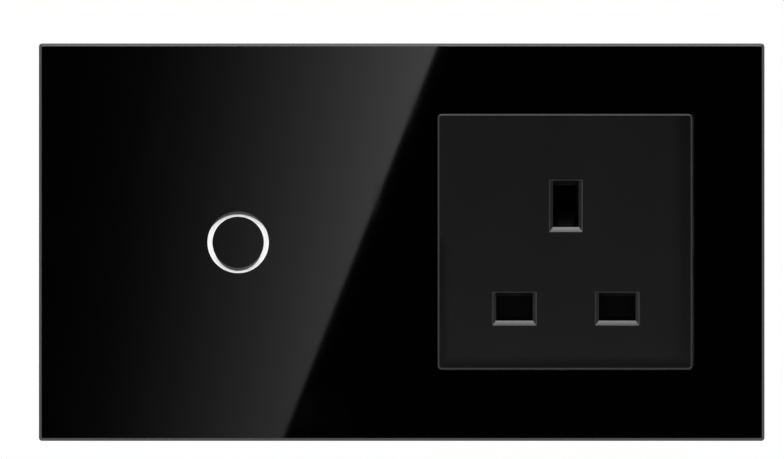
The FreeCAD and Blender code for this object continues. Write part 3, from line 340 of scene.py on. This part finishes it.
def beads(name, places, radius, bead):
    """Half-round raised rings on the boxes' rear faces."""
    grown = Grown(name, {"Ring Radius": radius * MM, "Bead Radius": bead * MM}, places)
    ring = grown.sweep(grown.circle(grown.size("Ring Radius"), BEAD_ROUND),
                       grown.circle(grown.size("Bead Radius"), SECTION_ROUND))
    grown.bake(grown.repeat(ring, BACKWARD), box_grey, "frame", "base_plastic")


def ribs(name, places, axis, length, radius):
    """Half-round ribs of one length along an axis, each from one of the places."""
    grown = Grown(name, {"Rib Length": length * MM, "Rib Radius": radius * MM}, places)
    end = grown.point(**{axis: grown.size("Rib Length")})
    line = grown.node("CurvePrimitiveLine", None, {"End": end})
    rib = grown.sweep(line, grown.circle(grown.size("Rib Radius"), SECTION_ROUND), caps=True)
    grown.bake(grown.repeat(rib), box_grey, "frame", "base_plastic")


box_grey = moulded("box_grey", (0.46, 0.46, 0.44), (0.58, 0.58, 0.56), rough=0.42, grain=2600.0,
                   depth=0.00003, edge=0.0003)
dress(box_grey, "switch_base")
# the socket's box carries painted shade: its inner faces are painted near-black
lined_grey = moulded("lined_grey", (0.46, 0.46, 0.44), (0.58, 0.58, 0.56), rough=0.42, grain=2600.0,
                     depth=0.00003, edge=0.0003, where=inside_shade_mask, deep=grey(0.012))
dress(lined_grey, "socket_base")
boxes = (SWITCH_X, SOCKET_X)
beads("well_collars", [(x, BOX_BACK, z) for x, z in WELLS], COLLAR_R, COLLAR_BEAD)
marks = [(x + side * EJECTOR_X, BOX_BACK - EJECTOR_SINK, z)
         for x in boxes for side in (-1, 1) for z in EJECTOR_ROWS]
beads("ejector_rings", marks, EJECTOR_R, EJECTOR_BEAD)
starts = [(x - REAR_RIB_L / 2, BOX_BACK, z) for x in boxes for z in REAR_RIB_ROWS]
ribs("rear_ribs", starts, "x", REAR_RIB_L, REAR_RIB_R)
starts = [(x + across, BOX_FRONT, side * BOX_HALF)
          for x in boxes for side in (-1, 1) for across in (-SIDE_RIB_OUT, SIDE_RIB_OUT)]
starts += [(x + side * BOX_HALF, BOX_FRONT, z)
           for x in boxes for side in (-1, 1) for z in (-SIDE_RIB_OUT, 0.0, SIDE_RIB_OUT)]
ribs("side_ribs", starts, "y", SIDE_RIB_L, SIDE_RIB_R)


# Screws of zinc plated steel: two long ones close the socket from behind, and small ones in
# every terminal clamp the wires. Turned threads and heads keep fine rings from the lathe.

CLOSING = ((SOCKET_X - 19.6, 19.6), (SOCKET_X + 19.6, -19.6))
CLOSING_ROWS = ((0.3, -7.0), (1.1, -6.2), (1.32, -5.0), (1.32, 12.5), (1.5, 12.8), (1.5, 21.55),
                (2.5, 21.6), (2.75, 21.85), (2.75, 22.75), (2.62, 23.1), (2.3, 23.4), (1.8, 23.6))
RECESS_ROWS = ((1.5, 0.36, 23.6), (1.35, 0.30, 22.2))
SCREW_ROUND = 40
THREAD_FRONT = -5.5
THREAD_R = 1.36
THREAD_WIRE = 0.16
THREAD_L = 17.5
THREAD_TURNS = 35.0
THREAD_CORNERS = 6
TURN_STEPS = 20


def turned_metal(name, dull, bright, rough, edge=0.0):
    """Metal turned or drawn round: fine mottling, bright rubbed spots and small rounded edges."""
    finish = Finish(name, {"Metallic": 1.0})
    ring = finish.noise(scale=2600.0, stretch=(1.0, 0.25, 1.0))
    stain = finish.noise(scale=260.0, detail=4.0, warp=0.8)
    tone = finish.blend(finish.step(stain, low=0.35, high=0.68), dull, bright)
    return finish.show(tone, rough + ring * 0.14 + stain * 0.1, relief=ring, depth=0.000004, edge=edge)


def square(x, z, w, h, r=0.0, steps=6):
    """Corner points of an upright rectangle, with its corners rounded by r."""
    points = []
    for turn, right, up in ((180, -1, -1), (270, 1, -1), (0, 1, 1), (90, -1, 1)):
        middle_x = x + right * (w / 2 - r)
        middle_z = z + up * (h / 2 - r)
        if r <= 0.0:
            points.append((middle_x, middle_z))
            continue
        for i in range(steps + 1):
            a = math.radians(turn + 90 * i / steps)
            points.append((middle_x + r * math.cos(a), middle_z + r * math.sin(a)))
    return points


def circle(x, z, r, steps):
    """Corner points of a circle."""
    turns = [2 * math.pi * i / steps for i in range(steps)]
    return [(x + r * math.cos(a), z + r * math.sin(a)) for a in turns]


def cross(x, z, arm, half):
    """Corner points of a cross recess."""
    points = []
    for turn in range(4):
        cos = math.cos(math.radians(90 * turn))
        sin = math.sin(math.radians(90 * turn))
        for along, aside in ((arm, -half), (arm, half), (half, half)):
            points.append((x + along * cos - aside * sin, z + along * sin + aside * cos))
    return points


def ring_at(shape, points, y):
    """A closed row of mesh corners from points in millimetres, at one depth."""
    return [shape.verts.new((x * MM, y * MM, z * MM)) for x, z in points]


def wall(shape, rows, finish=0):
    """Smooth faces between each row of corners and the next."""
    for a, b in zip(rows, rows[1:]):
        for i in range(len(a)):
            j = (i + 1) % len(a)
            face = shape.faces.new((a[i], a[j], b[j], b[i]))
            face.smooth = True
            face.material_index = finish


def lid(shape, rows):
    """A flat face inside the first row and round the others, which are holes."""
    edges = []
    for row in rows:
        for i in range(len(row)):
            pair = (row[i], row[(i + 1) % len(row)])
            edges.append(shape.edges.get(pair) or shape.edges.new(pair))
    made = bmesh.ops.triangle_fill(shape, use_beauty=True, use_dissolve=False, edges=edges)
    for face in made["geom"]:
        if isinstance(face, bmesh.types.BMFace):
            face.smooth = False
            face.material_index = 0


def place_piece(shape, name, materials, node, body, crease=28.0):
    """Turns a finished shape into the object that takes a CAD node's place."""
    bmesh.ops.recalc_face_normals(shape, faces=shape.faces)
    for edge in shape.edges:
        flat = any(not face.smooth for face in edge.link_faces)
        edge.smooth = not flat and edge.calc_face_angle(0.0) < math.radians(crease)
    mesh = bpy.data.meshes.new(name)
    shape.to_mesh(mesh)
    shape.free()
    for material in materials:
        mesh.materials.append(material)
    made = bpy.data.objects.new(name, mesh)
    bpy.context.scene.collection.objects.link(made)
    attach(made, body)
    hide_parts(node)


def spiral(name, places, radius, wire, rise, turns, corners):
    """A wire wound round its own axis: a tree with its coil's sizes, the path and the section."""
    sizes = {"Coil Radius": radius * MM, "Wire Radius": wire * MM, "Rise": rise * MM, "Turns": turns}
    grown = Grown(name, sizes, places)
    path = grown.node("CurveSpiral", None, {
        "Resolution": TURN_STEPS, "Rotations": grown.size("Turns"), "Height": grown.size("Rise"),
        "Start Radius": grown.size("Coil Radius"), "End Radius": grown.size("Coil Radius")})
    return grown, path, grown.circle(grown.size("Wire Radius"), corners)


screw_zinc = turned_metal("screw_zinc", (0.42, 0.42, 0.42), (0.66, 0.66, 0.63), rough=0.24, edge=0.00008)
dress(screw_zinc, "terminal_screws", "switch_terminal_screws")
shape = bmesh.new()
for x, z in CLOSING:
    rows = [ring_at(shape, circle(x, z, r, SCREW_ROUND), y) for r, y in CLOSING_ROWS]
    recess = [ring_at(shape, cross(x, z, arm, half), y) for arm, half, y in RECESS_ROWS]
    wall(shape, rows)
    wall(shape, recess)
    lid(shape, [rows[0]])
    lid(shape, [rows[-1], recess[0]])
    lid(shape, [recess[-1]])
place_piece(shape, "closing_screws", [screw_zinc], "socket_screws", "frame")
ends = [(x, THREAD_FRONT, z) for x, z in CLOSING]
grown, path, section = spiral("screw_threads", ends, THREAD_R, THREAD_WIRE, THREAD_L, THREAD_TURNS,
                              THREAD_CORNERS)
thread = grown.sweep(path, section, caps=True)
grown.bake(grown.repeat(thread, BACKWARD), screw_zinc, "frame", "screw_steel")


# Brass terminal blocks, sawn from drawn bar and drilled for up to three wires, sit in cells of
# the boxes; the bronze jaws that grip a plug's pins are bent from strip and riveted to them.

block_brass = turned_metal("block_brass", (0.55, 0.38, 0.14), (0.80, 0.62, 0.30), rough=0.22, edge=0.00012)
dress(block_brass, "live_terminal", "neutral_terminal", "earth_terminal", "switch_terminals")
jaw_bronze = rolled("jaw_bronze", dull=(0.16, 0.085, 0.042), bright=(0.34, 0.20, 0.11), rough=0.24,
                    lines=(1, 0.05, 1), edge=0.00006)
dress(jaw_bronze, "live_contact", "neutral_contact", "earth_contact")


# A black cover closes the contacts in, and the shutter slides in front of it: one black moulding
# over both line holes with a ramp for the earth pin, pushed up by a coil spring beneath it.

SPRING_FOOT = -24.2
SPRING_TOP = -13.04
SPRING_AXIS_Y = -6.2
SPRING_R = 1.4
SPRING_WIRE_R = 0.2
SPRING_TURNS = 7.0
SPRING_OPENS = 0.8
SPRING_L = SPRING_TOP - SPRING_FOOT

cover_black = moulded("cover_black", grey(0.0016), grey(0.0030), rough=0.3, grain=2400.0, depth=0.00001,
                      edge=0.0002, fixed={"Specular IOR Level": 0.2})
dress(cover_black, "contact_cover")
shutter_black = moulded("shutter_black", grey(0.0004), grey(0.0009), rough=0.3, grain=2800.0,
                        depth=0.000003, edge=0.00025, fixed={"Specular IOR Level": 0.04})
dress(shutter_black, "shutter")

spring_wire = turned_metal("spring_wire", (0.36, 0.36, 0.37), (0.60, 0.59, 0.57), rough=0.2)
foot = (SOCKET_X, SPRING_AXIS_Y, SPRING_FOOT + SPRING_WIRE_R)
grown, path, section = spiral("coil_spring", [foot], SPRING_R, SPRING_WIRE_R, SPRING_L - 2 * SPRING_WIRE_R,
                              SPRING_TURNS, SECTION_ROUND)
along = grown.node("SplineParameter") * grown.size("Turns")
closed = grown.size("Wire Radius") * 2.0
first = grown.step(along, 0.0, 1.0, "LINEAR") * closed
last = grown.step(along, SPRING_TURNS - 1, SPRING_TURNS, "LINEAR") * closed
between = grown.step(along, SPRING_OPENS, SPRING_TURNS - SPRING_OPENS) * (grown.size("Rise") - closed * 2.0)
path = grown.node("SetPosition", None, {
    "Geometry": path, "Position": grown.point(grown.here(0), grown.here(1), first + last + between)})
coil = grown.bake(grown.repeat(grown.sweep(path, section, caps=True)), spring_wire, "frame",
                  "spring_steel", "shutter_spring")
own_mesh(coil)


# The socket's front is a square face over an inner frame, both in very dark grey with a fine
# matt texture. The face has three pin holes with mitred lead-ins, and its rim is bevelled.

FACE_X = SOCKET_X - 0.18
FACE_Z = 0.08
FACE_W = 55.1
FACE_H = 55.3
FACE_CORNER = 0.85
LEAST_CORNER = 0.35
CORNER_SHRINK = 0.8
FACE_FRONT = -11.5
FACE_BACK = -9.0
RIM_ROWS = ((0.0, FACE_BACK), (0.0, -11.20), (0.03, -11.25), (0.28, -11.43), (0.36, -11.48),
            (0.44, FACE_FRONT))
PIN_HOLES = ((35.5, 7.815, 7.2, 11.2), (24.385, -14.415, 9.55, 7.2), (46.615, -14.415, 9.55, 7.2))
LEAD_IN_ROWS = ((-0.04, -0.04, -0.04, 0.0), (0.05, 0.05, 0.03, 0.04), (0.80, 1.04, 0.33, 0.58),
                (0.86, 1.10, 0.38, 0.68), (0.86, 1.10, 0.80, 1.4))
FACE_GRAIN = 3800.0
FADE_RIGHT = (5.2, 1.2, 0.58)
FADE_LEFT = (3.0, 0.6, 0.75)
FADE_BELOW = (3.6, 0.5, 1.0)
FADE_MIDDLE = 3.0


def near_edge(finish, outwards, edge, fade):
    """Rises to a share between two distances inside an edge of the face."""
    start, full, share = fade
    return finish.step(outwards, (edge - start) * MM, (edge - full) * MM) * share


def face_edge_shade(finish):
    """Painted shade: most at the face's lower and right edges and its lower left one, 0 a few millimetres
    in.
    """
    right = near_edge(finish, finish.axis("X"), FACE_W / 2 + FACE_X, FADE_RIGHT)
    left = near_edge(finish, -1.0 * finish.axis("X"), FACE_W / 2 - FACE_X, FADE_LEFT)
    below = near_edge(finish, -1.0 * finish.axis("Z"), FACE_H / 2 - FACE_Z, FADE_BELOW)
    left = left * finish.step(-1.0 * finish.axis("Z"), -FADE_MIDDLE * MM, FADE_MIDDLE * MM)
    return finish.math("MAXIMUM", finish.math("MAXIMUM", left, right), below)


# painted shade: the face's colour darkens towards its right, bottom and lower left edges
face_black = moulded("face_black", grey(0.0052), grey(0.0072), rough=0.12, grain=FACE_GRAIN, depth=0.000003,
                     fixed={"Specular IOR Level": 0.25}, where=face_edge_shade, deep=grey(0.0008))
# painted highlight: the rim's bevel is painted a lighter grey than the face, for the light it catches
face_rim = moulded("face_rim", grey(0.034), grey(0.046), rough=0.42, grain=FACE_GRAIN, depth=0.000004,
                   fixed={"Specular IOR Level": 0.2})
lead_in_satin = moulded("lead_in_satin", grey(0.0052), grey(0.0072), rough=0.12, grain=FACE_GRAIN,
                        depth=0.000003, fixed={"Specular IOR Level": 0.8})
frame_black = moulded("frame_black", grey(0.0020), grey(0.0040), rough=0.24, grain=2600.0, depth=0.00001,
                      edge=0.0003, fixed={"Specular IOR Level": 0.25})
dress(frame_black, "shutter_frame")

shape = bmesh.new()
rows = []
for inset, y in RIM_ROWS:
    corner = max(FACE_CORNER - inset * CORNER_SHRINK, LEAST_CORNER)
    rows.append(ring_at(shape, square(FACE_X, FACE_Z, FACE_W - 2 * inset, FACE_H - 2 * inset, corner), y))
wall(shape, rows[:3])
wall(shape, rows[2:5], finish=1)
wall(shape, rows[4:])
mouths = []
tails = []
for x, z, w, h in PIN_HOLES:
    hole = []
    for side, low, high, depth in LEAD_IN_ROWS:
        mouth = square(x, z + (low - high) / 2, w - 2 * side, h - low - high)
        hole.append(ring_at(shape, mouth, FACE_FRONT + depth))
    hole.append(ring_at(shape, mouth, FACE_BACK))
    wall(shape, hole[:4], finish=2)
    wall(shape, hole[3:])
    mouths.append(hole[0])
    tails.append(hole[-1])
lid(shape, [rows[-1]] + mouths)
lid(shape, [rows[0]] + tails)
place_piece(shape, "pin_hole_face", [face_black, face_rim, lead_in_satin], "socket_face", "frame")


# The touch board: a green laminate card in a grey tray, with a small sensing chip, resistors, four
# lamps and, in front of it, a clear light guide inside a black sleeve with a soft touch pad.

BOARD_FACE = -4.6
RESISTOR = (1.1, 0.42, 0.8)
RESISTOR_END = (0.28, 0.46, 0.84)
RESISTOR_X = 11.2
RESISTOR_ROWS = (-9.0, -6.5, -4.0, 4.0, 6.5, 9.0)
HEADER_PINS = 6
PIN_PITCH = 2.0
HEADER_Z = -14.2
PIN_JOINT_R = 0.6
PIN_JOINT_H = 0.42
SOLDER_SIDE = (1.0, 1.6)


def laminate(name):
    """Green solder resist over copper tracks, glossy, with a fine glass weave."""
    finish = Finish(name, {"Coat Weight": 0.6, "Coat Roughness": 0.12})
    weave = finish.node("TexChecker", None, {"Vector": finish.place(), "Scale": 5200.0}, out="Fac")
    tracks = finish.node("TexBrick", {"offset": 0.37, "squash": 1.6}, {
        "Vector": finish.place((1, 0, 1)), "Scale": 260.0, "Mortar Size": 0.09, "Mortar Smooth": 0.1,
        "Brick Width": 0.9, "Row Height": 0.32}, out="Fac")
    tone = finish.blend(tracks, (0.012, 0.085, 0.030), (0.035, 0.20, 0.060))
    tone = finish.blend(finish.noise(scale=60.0, detail=3.0) * 0.4, tone, (0.010, 0.10, 0.05))
    return finish.show(tone, 0.30 + weave * 0.05, relief=tracks, depth=0.00004)


def blocks(name, places, size, material, slot):
    """Small soldered blocks, all of one size, with their middles at the places."""
    keys = ("Block Length", "Block Depth", "Block Height")
    grown = Grown(name, {key: part * MM for key, part in zip(keys, size)}, places)
    extent = grown.point(*[grown.size(key) for key in keys])
    block = grown.node("MeshCube", None, {"Size": extent})
    grown.bake(grown.repeat(block), material, "frame", slot)


tray_grey = moulded("tray_grey", grey(0.20), (0.28, 0.28, 0.27), rough=0.4, grain=2400.0, depth=0.00002,
                    edge=0.0002)
dress(tray_grey, "sensor_tray")
board_green = laminate("board_green")
dress(board_green, "sensor_board", "power_board")
tin_solder = turned_metal("tin_solder", (0.46, 0.46, 0.45), (0.68, 0.68, 0.66), rough=0.2)
chip_black = moulded("chip_black", (0.014, 0.014, 0.015), (0.026, 0.026, 0.027), rough=0.5, grain=5000.0,
                     depth=0.00001, edge=0.00006)
dress(chip_black, "touch_controller", "board_header", "fuse")
resistors = [(SWITCH_X + side * RESISTOR_X, BOARD_FACE - RESISTOR[1] / 2, z)
             for side in (-1, 1) for z in RESISTOR_ROWS]
blocks("chip_resistors", resistors, RESISTOR, chip_black, "chip_plastic")
to_end = (RESISTOR[0] + RESISTOR_END[0]) / 2
ends = [(x + side * to_end, y, z) for x, y, z in resistors for side in (-1, 1)]
blocks("resistor_ends", ends, RESISTOR_END, tin_solder, "plated_steel")
first_pin = SWITCH_X - PIN_PITCH * (HEADER_PINS - 1) / 2
joints = [(first_pin + i * PIN_PITCH, BOARD_FACE, HEADER_Z) for i in range(HEADER_PINS)]
domes("header_joints", joints, PIN_JOINT_R, PIN_JOINT_H, SOLDER_SIDE, tin_solder)
lamp_cream = moulded("lamp_cream", (0.80, 0.78, 0.62), (0.92, 0.90, 0.80), rough=0.2, grain=1800.0,
                     depth=0.000005, edge=0.00008)
dress(lamp_cream, "status_leds")
rubber_black = moulded("rubber_black", grey(0.014), (0.026, 0.026, 0.025), rough=0.66, grain=3000.0,
                       depth=0.00002, edge=0.0002)
dress(rubber_black, "light_shield", "touch_pad")
guide_clear = moulded("guide_clear", (0.74, 0.78, 0.80), (0.88, 0.90, 0.92), rough=0.08, grain=900.0,
                      depth=0.000004, edge=0.0002, fixed={"Transmission Weight": 0.85, "IOR": 1.49})
dress(guide_clear, "light_guide")


# The power board stands behind it with the relay, the capacitors, the supply's transformer, a
# surge disc and a fuse, all soldered to one card, and a green housing for the two wire terminals.

POWER_FACE = 2.5
POWER_JOINTS = ((-18.0, -1.0), (-18.0, 10.5), (-3.0, -1.0), (-3.0, 4.7), (-3.0, 10.5), (4.0, 14.8),
                (14.0, 14.8), (14.2, 5.0), (16.6, 5.0), (-10.4, 16.4), (-5.6, 16.4), (-17.9, -11.5),
                (-17.9, -4.5), (-6.5, -14.5), (6.5, -14.5), (2.2, 2.2), (8.4, 2.2), (2.2, 7.8), (8.4, 7.8))
POWER_JOINT_R = 0.9
POWER_JOINT_H = 0.8

joints = [(SWITCH_X + x, POWER_FACE, z) for x, z in POWER_JOINTS]
domes("power_joints", joints, POWER_JOINT_R, POWER_JOINT_H, SOLDER_SIDE, tin_solder)
relay_blue = moulded("relay_blue", (0.020, 0.085, 0.34), (0.035, 0.13, 0.45), rough=0.22, grain=700.0,
                     depth=0.000006, edge=0.0004)
dress(relay_blue, "relay")
dipped_yellow = moulded("dipped_yellow", (0.62, 0.38, 0.03), (0.80, 0.55, 0.07), rough=0.22, grain=500.0,
                        depth=0.00002, edge=0.0004)
dress(dipped_yellow, "film_capacitor", "varistor")
can_sleeve = moulded("can_sleeve", (0.06, 0.06, 0.08), (0.13, 0.13, 0.15), rough=0.2, grain=600.0,
                     depth=0.000008, edge=0.0002)
dress(can_sleeve, "round_capacitor")
coil_tape = moulded("coil_tape", (0.66, 0.56, 0.14), (0.86, 0.76, 0.26), rough=0.3, grain=900.0,
                    depth=0.00001, edge=0.0002)
dress(coil_tape, "supply_transformer")
housing_green = moulded("housing_green", (0.025, 0.22, 0.07), (0.05, 0.33, 0.11), rough=0.38, grain=2200.0,
                        depth=0.00002, edge=0.0002)
dress(housing_green, "terminal_housing")


# The glass panel's back: a black carrier sheet with six pegs and four stiffening rails round its
# rim, bonded to the glass by a thin black foam tape.

carrier_black = moulded("carrier_black", grey(0.012), grey(0.020), rough=0.44, grain=2200.0, depth=0.00003,
                        edge=0.0003)
dress(carrier_black, "panel_carrier", "rim_rails")
tape_black = moulded("tape_black", grey(0.03), grey(0.07), rough=0.8, grain=4200.0, depth=0.00003)
dress(tape_black, "adhesive_tape")


# The panel itself is 4 mm toughened glass, printed black behind and polished in front. Its edge
# is ground to a bevel all round, and so is the ring's groove; the cut-out's lip is polished.

PANEL_W = 157.0
PANEL_H = 86.0
PANEL_CORNER = 0.7
PANEL_LEAST_CORNER = 0.12
PANEL_SHRINK = 0.75
GLASS_FRONT = -11.0
GLASS_BACK = -7.0
EDGE_ROWS = ((0.18, GLASS_BACK), (0, -7.18), (0, -10.30), (0.04, -10.37), (0.56, -10.96),
             (0.63, GLASS_FRONT))
CUTOUT = 55.6
CUTOUT_CORNER = 0.9
LIP_ROWS = ((0.06, GLASS_FRONT), (0, -10.94), (0, -7.1), (0.1, GLASS_BACK))
RING_X = SWITCH_X + 0.12
RING_Z = -0.04
RING_OUT = 6.64
RING_IN = 5.56
RING_ROUND = 192
GROOVE_FLOOR = -10.2
GROOVE_ROWS = ((RING_OUT + 0.02, GLASS_FRONT), (RING_OUT, -10.97), (RING_OUT, GROOVE_FLOOR),
               (RING_IN, GROOVE_FLOOR), (RING_IN, -10.97), (RING_IN - 0.02, GLASS_FRONT))

polished = Finish("polished_glass", {"IOR": 1.52})
smear = polished.noise(scale=55.0, detail=5.0, stretch=(1.0, 1.0, 0.6), warp=1.4)
smear = polished.step(smear, low=0.5, high=0.8)
speck = polished.noise(scale=5200.0, detail=1.0)
polished.show(polished.blend(smear, grey(0.0003), grey(0.0006)), 0.012 + smear * 0.02 + speck * 0.006)

ground = Finish("ground_glass", {"IOR": 1.52, "Specular IOR Level": 0.3})
drag = ground.noise(scale=3600.0, detail=3.0, stretch=(0.15, 1.0, 0.15))
ground.show(ground.blend(drag, (0.040, 0.043, 0.042), (0.062, 0.066, 0.064)), 0.36 + drag * 0.16,
            relief=drag, depth=0.000006)

shape = bmesh.new()
edge = []
for inset, y in EDGE_ROWS:
    corner = max(PANEL_CORNER - inset * PANEL_SHRINK, PANEL_LEAST_CORNER)
    edge.append(ring_at(shape, square(0, 0, PANEL_W - 2 * inset, PANEL_H - 2 * inset, corner), y))
wall(shape, edge, finish=1)
lip = []
for grow, y in LIP_ROWS:
    side = CUTOUT + 2 * grow
    lip.append(ring_at(shape, square(SOCKET_X, 0, side, side, CUTOUT_CORNER + grow), y))
wall(shape, lip)
groove = [ring_at(shape, circle(RING_X, RING_Z, r, RING_ROUND), y) for r, y in GROOVE_ROWS]
wall(shape, groove, finish=1)
lid(shape, [edge[-1], lip[0], groove[0]])
lid(shape, [groove[-1]])
lid(shape, [edge[0], lip[-1]])
place_piece(shape, "front_glass", [polished.material, ground.material], "glass_panel", "front_panel")


# The touch mark is a ring of white filling in the glass's groove, shrunk to a hollow as it cured.
# Its upper outer and lower inner flanks, which turn from the light above, are painted grey as painted
# shade.

RING_ACROSS = 14
RING_SINK = 0.06
RING_DISH = 0.5
RING_CLEAR = 0.005
FLANK_SHARPNESS = 6
FLANK_SHIFT = 0.08

ring_white = Finish("ring_white", {"IOR": 1.45})
shade = ring_white.node("Attribute", {"attribute_name": "flank_shade"}, out="Fac")
chalk = ring_white.noise(scale=2400.0, detail=3.0)
white = ring_white.blend(chalk, grey(0.94), grey(0.99))
# painted shade: the flanks' mask turns the white filling grey
tone = ring_white.blend(shade, white, grey(0.046))
ring_white.show(tone, 0.42 + chalk * 0.15, relief=chalk, depth=0.000005)

shape = bmesh.new()
middle = (RING_IN + RING_OUT) / 2
half = (RING_OUT - RING_IN) / 2 - RING_CLEAR
# mask of the painted shade, 1 on the flanks that turn from the light above
flank_shade = shape.verts.layers.float.new("flank_shade")
rows = []
for i in range(RING_ACROSS + 1):
    aside = 2 * i / RING_ACROSS - 1
    depth = GLASS_FRONT + RING_SINK + RING_DISH * (1 - aside * aside)
    row = ring_at(shape, circle(RING_X, RING_Z, middle + half * aside, RING_ROUND), depth)
    for j, corner in enumerate(row):
        up = math.sin(2 * math.pi * j / RING_ROUND)
        bound = 2 * (1 - abs(up)) - FLANK_SHIFT
        reach = aside if up > 0 else -aside
        corner[flank_shade] = min(max((reach - bound) * FLANK_SHARPNESS + 0.5, 0.0), 1.0)
    rows.append(row)
for r in (RING_OUT - RING_CLEAR, RING_IN + RING_CLEAR):
    rows.append(ring_at(shape, circle(RING_X, RING_Z, r, RING_ROUND), GROOVE_FLOOR))
wall(shape, rows + [rows[0]])
place_piece(shape, "touch_mark", [ring_white.material], "touch_ring", "front_panel")


# The studio: the panel hangs over a pale floor in front of a white room, under a broad soft box
# with two soft fills, and a tall card beside the camera makes the slanted reflection in the glass.

FLOOR_Z = -0.075
FLOOR_R = 0.7
FLOOR_CORNERS = 64
FLOOR_FADE = (0.25, 0.6)
ROOM_LIGHT = 0.5
DARK_FRONT = (-0.3, 0.25)
CARD_Y = -3.0
CARD_CORNERS = ((0.0671, 0.225), (-0.30, 0.225), (-0.30, -0.225), (-0.1099, -0.225))
CARD_START = 0.9849
CARD_RISE = 3.8036
CARD_LEAN = 0.6010
CARD_CURVE = 2.8
CARD_BRIGHTEST = 1.15
CARD_DARKEST = 0.006
WHITE = (1, 1, 1, 1)

scene = bpy.context.scene
scene.view_settings.view_transform = "Standard"

lens = bpy.data.cameras.new("photo_lens")
lens.lens = 300.45
lens.sensor_width = 36.0
lens.clip_end = 50.0
camera = bpy.data.objects.new("photo_camera", lens)
camera.location = (-0.0021, -1.426, 0.00274)
camera.rotation_euler = (math.radians(90), 0, 0)
scene.collection.objects.link(camera)
scene.camera = camera


def soft_light(name, place, aim, size, radiance):
    """A rectangular soft box that the camera doesn't see."""
    lamp = bpy.data.lights.new(name, "AREA")
    lamp.shape = "RECTANGLE"
    lamp.size = size[0]
    lamp.size_y = size[1]
    lamp.energy = radiance * math.pi * size[0] * size[1]
    made = bpy.data.objects.new(name, lamp)
    made.location = place
    made.rotation_euler = (Vector(aim) - Vector(place)).to_track_quat("-Z", "Y").to_euler()
    made.visible_camera = False
    scene.collection.objects.link(made)


soft_light("top_box", place=(0.0, -0.24, 0.72), aim=(0, -0.01, 0), size=(0.75, 0.6), radiance=4.2)
soft_light("left_fill", place=(-1.0, -0.95, 0.25), aim=(0, 0, 0), size=(0.7, 0.9), radiance=0.6)
soft_light("right_fill", place=(1.0, -0.95, 0.25), aim=(0, 0, 0), size=(0.7, 0.9), radiance=0.6)

world = bpy.data.worlds.new("white_room")
world.use_nodes = True
scene.world = world
room = Tree(world.node_tree)
seen = room.node("LightPath", out="Is Camera Ray")
gloss = room.node("LightPath", out="Is Glossy Ray")
through = room.node("LightPath", out="Is Transmission Ray")
facing = room.node("SeparateXYZ", None, {0: room.node("TexCoord", out="Generated")}, out="Y")
lit = seen + through + gloss * room.step(facing, *DARK_FRONT)
back = world.node_tree.nodes["Background"]
back.inputs["Color"].default_value = WHITE
room.feed(back.inputs["Strength"], lit + (1.0 - seen - through - gloss) * ROOM_LIGHT)


def stage_sheet(name, corners, *unseen_by):
    """A flat sheet of the studio, which isn't part of the object and which some kinds of ray miss."""
    mesh = bpy.data.meshes.new(name)
    mesh.from_pydata(corners, [], [tuple(range(len(corners)))])
    material = bpy.data.materials.new(name)
    material.use_nodes = True
    mesh.materials.append(material)
    made = bpy.data.objects.new(name, mesh)
    scene.collection.objects.link(made)
    for ray in unseen_by:
        setattr(made, "visible_" + ray, False)
    return Tree(material.node_tree)


disc = [(x * FLOOR_R, z * FLOOR_R, FLOOR_Z) for x, z in circle(0, 0, 1, FLOOR_CORNERS)]
paint = stage_sheet("pale_floor", disc)
matt = paint.tree.nodes["Principled BSDF"]
matt.inputs["Base Color"].default_value = (0.86, 0.86, 0.86, 1)
matt.inputs["Roughness"].default_value = 0.9
matt.inputs["Specular IOR Level"].default_value = 0.1
seen = paint.node("LightPath", out="Is Camera Ray") + paint.node("LightPath", out="Is Glossy Ray")
seen = seen + paint.node("LightPath", out="Is Transmission Ray")
span = paint.node("VectorMath", {"operation": "LENGTH"}, {0: paint.place()}, out="Value")
far = paint.step(span, *FLOOR_FADE)
glow = paint.node("Emission", None, {"Color": WHITE, "Strength": 1.0})
mixed = paint.node("MixShader", None, {0: seen * far, 1: Signal(paint, matt.outputs[0]), 2: glow})
paint.feed(paint.tree.nodes["Material Output"].inputs["Surface"], mixed)

card = [(x, CARD_Y, z) for x, z in CARD_CORNERS]
ramp = stage_sheet("slanted_card", card, "camera", "diffuse", "transmission", "volume_scatter", "shadow")
ramp.tree.nodes.remove(ramp.tree.nodes["Principled BSDF"])
across = ramp.math("MAXIMUM", ramp.axis("X") * CARD_RISE + CARD_START - ramp.axis("Z") * CARD_LEAN)
glow = ramp.node("Emission", None, {
    "Color": across ** CARD_CURVE * CARD_BRIGHTEST + CARD_DARKEST, "Strength": 1.0})
ramp.feed(ramp.tree.nodes["Material Output"].inputs["Surface"], glow)
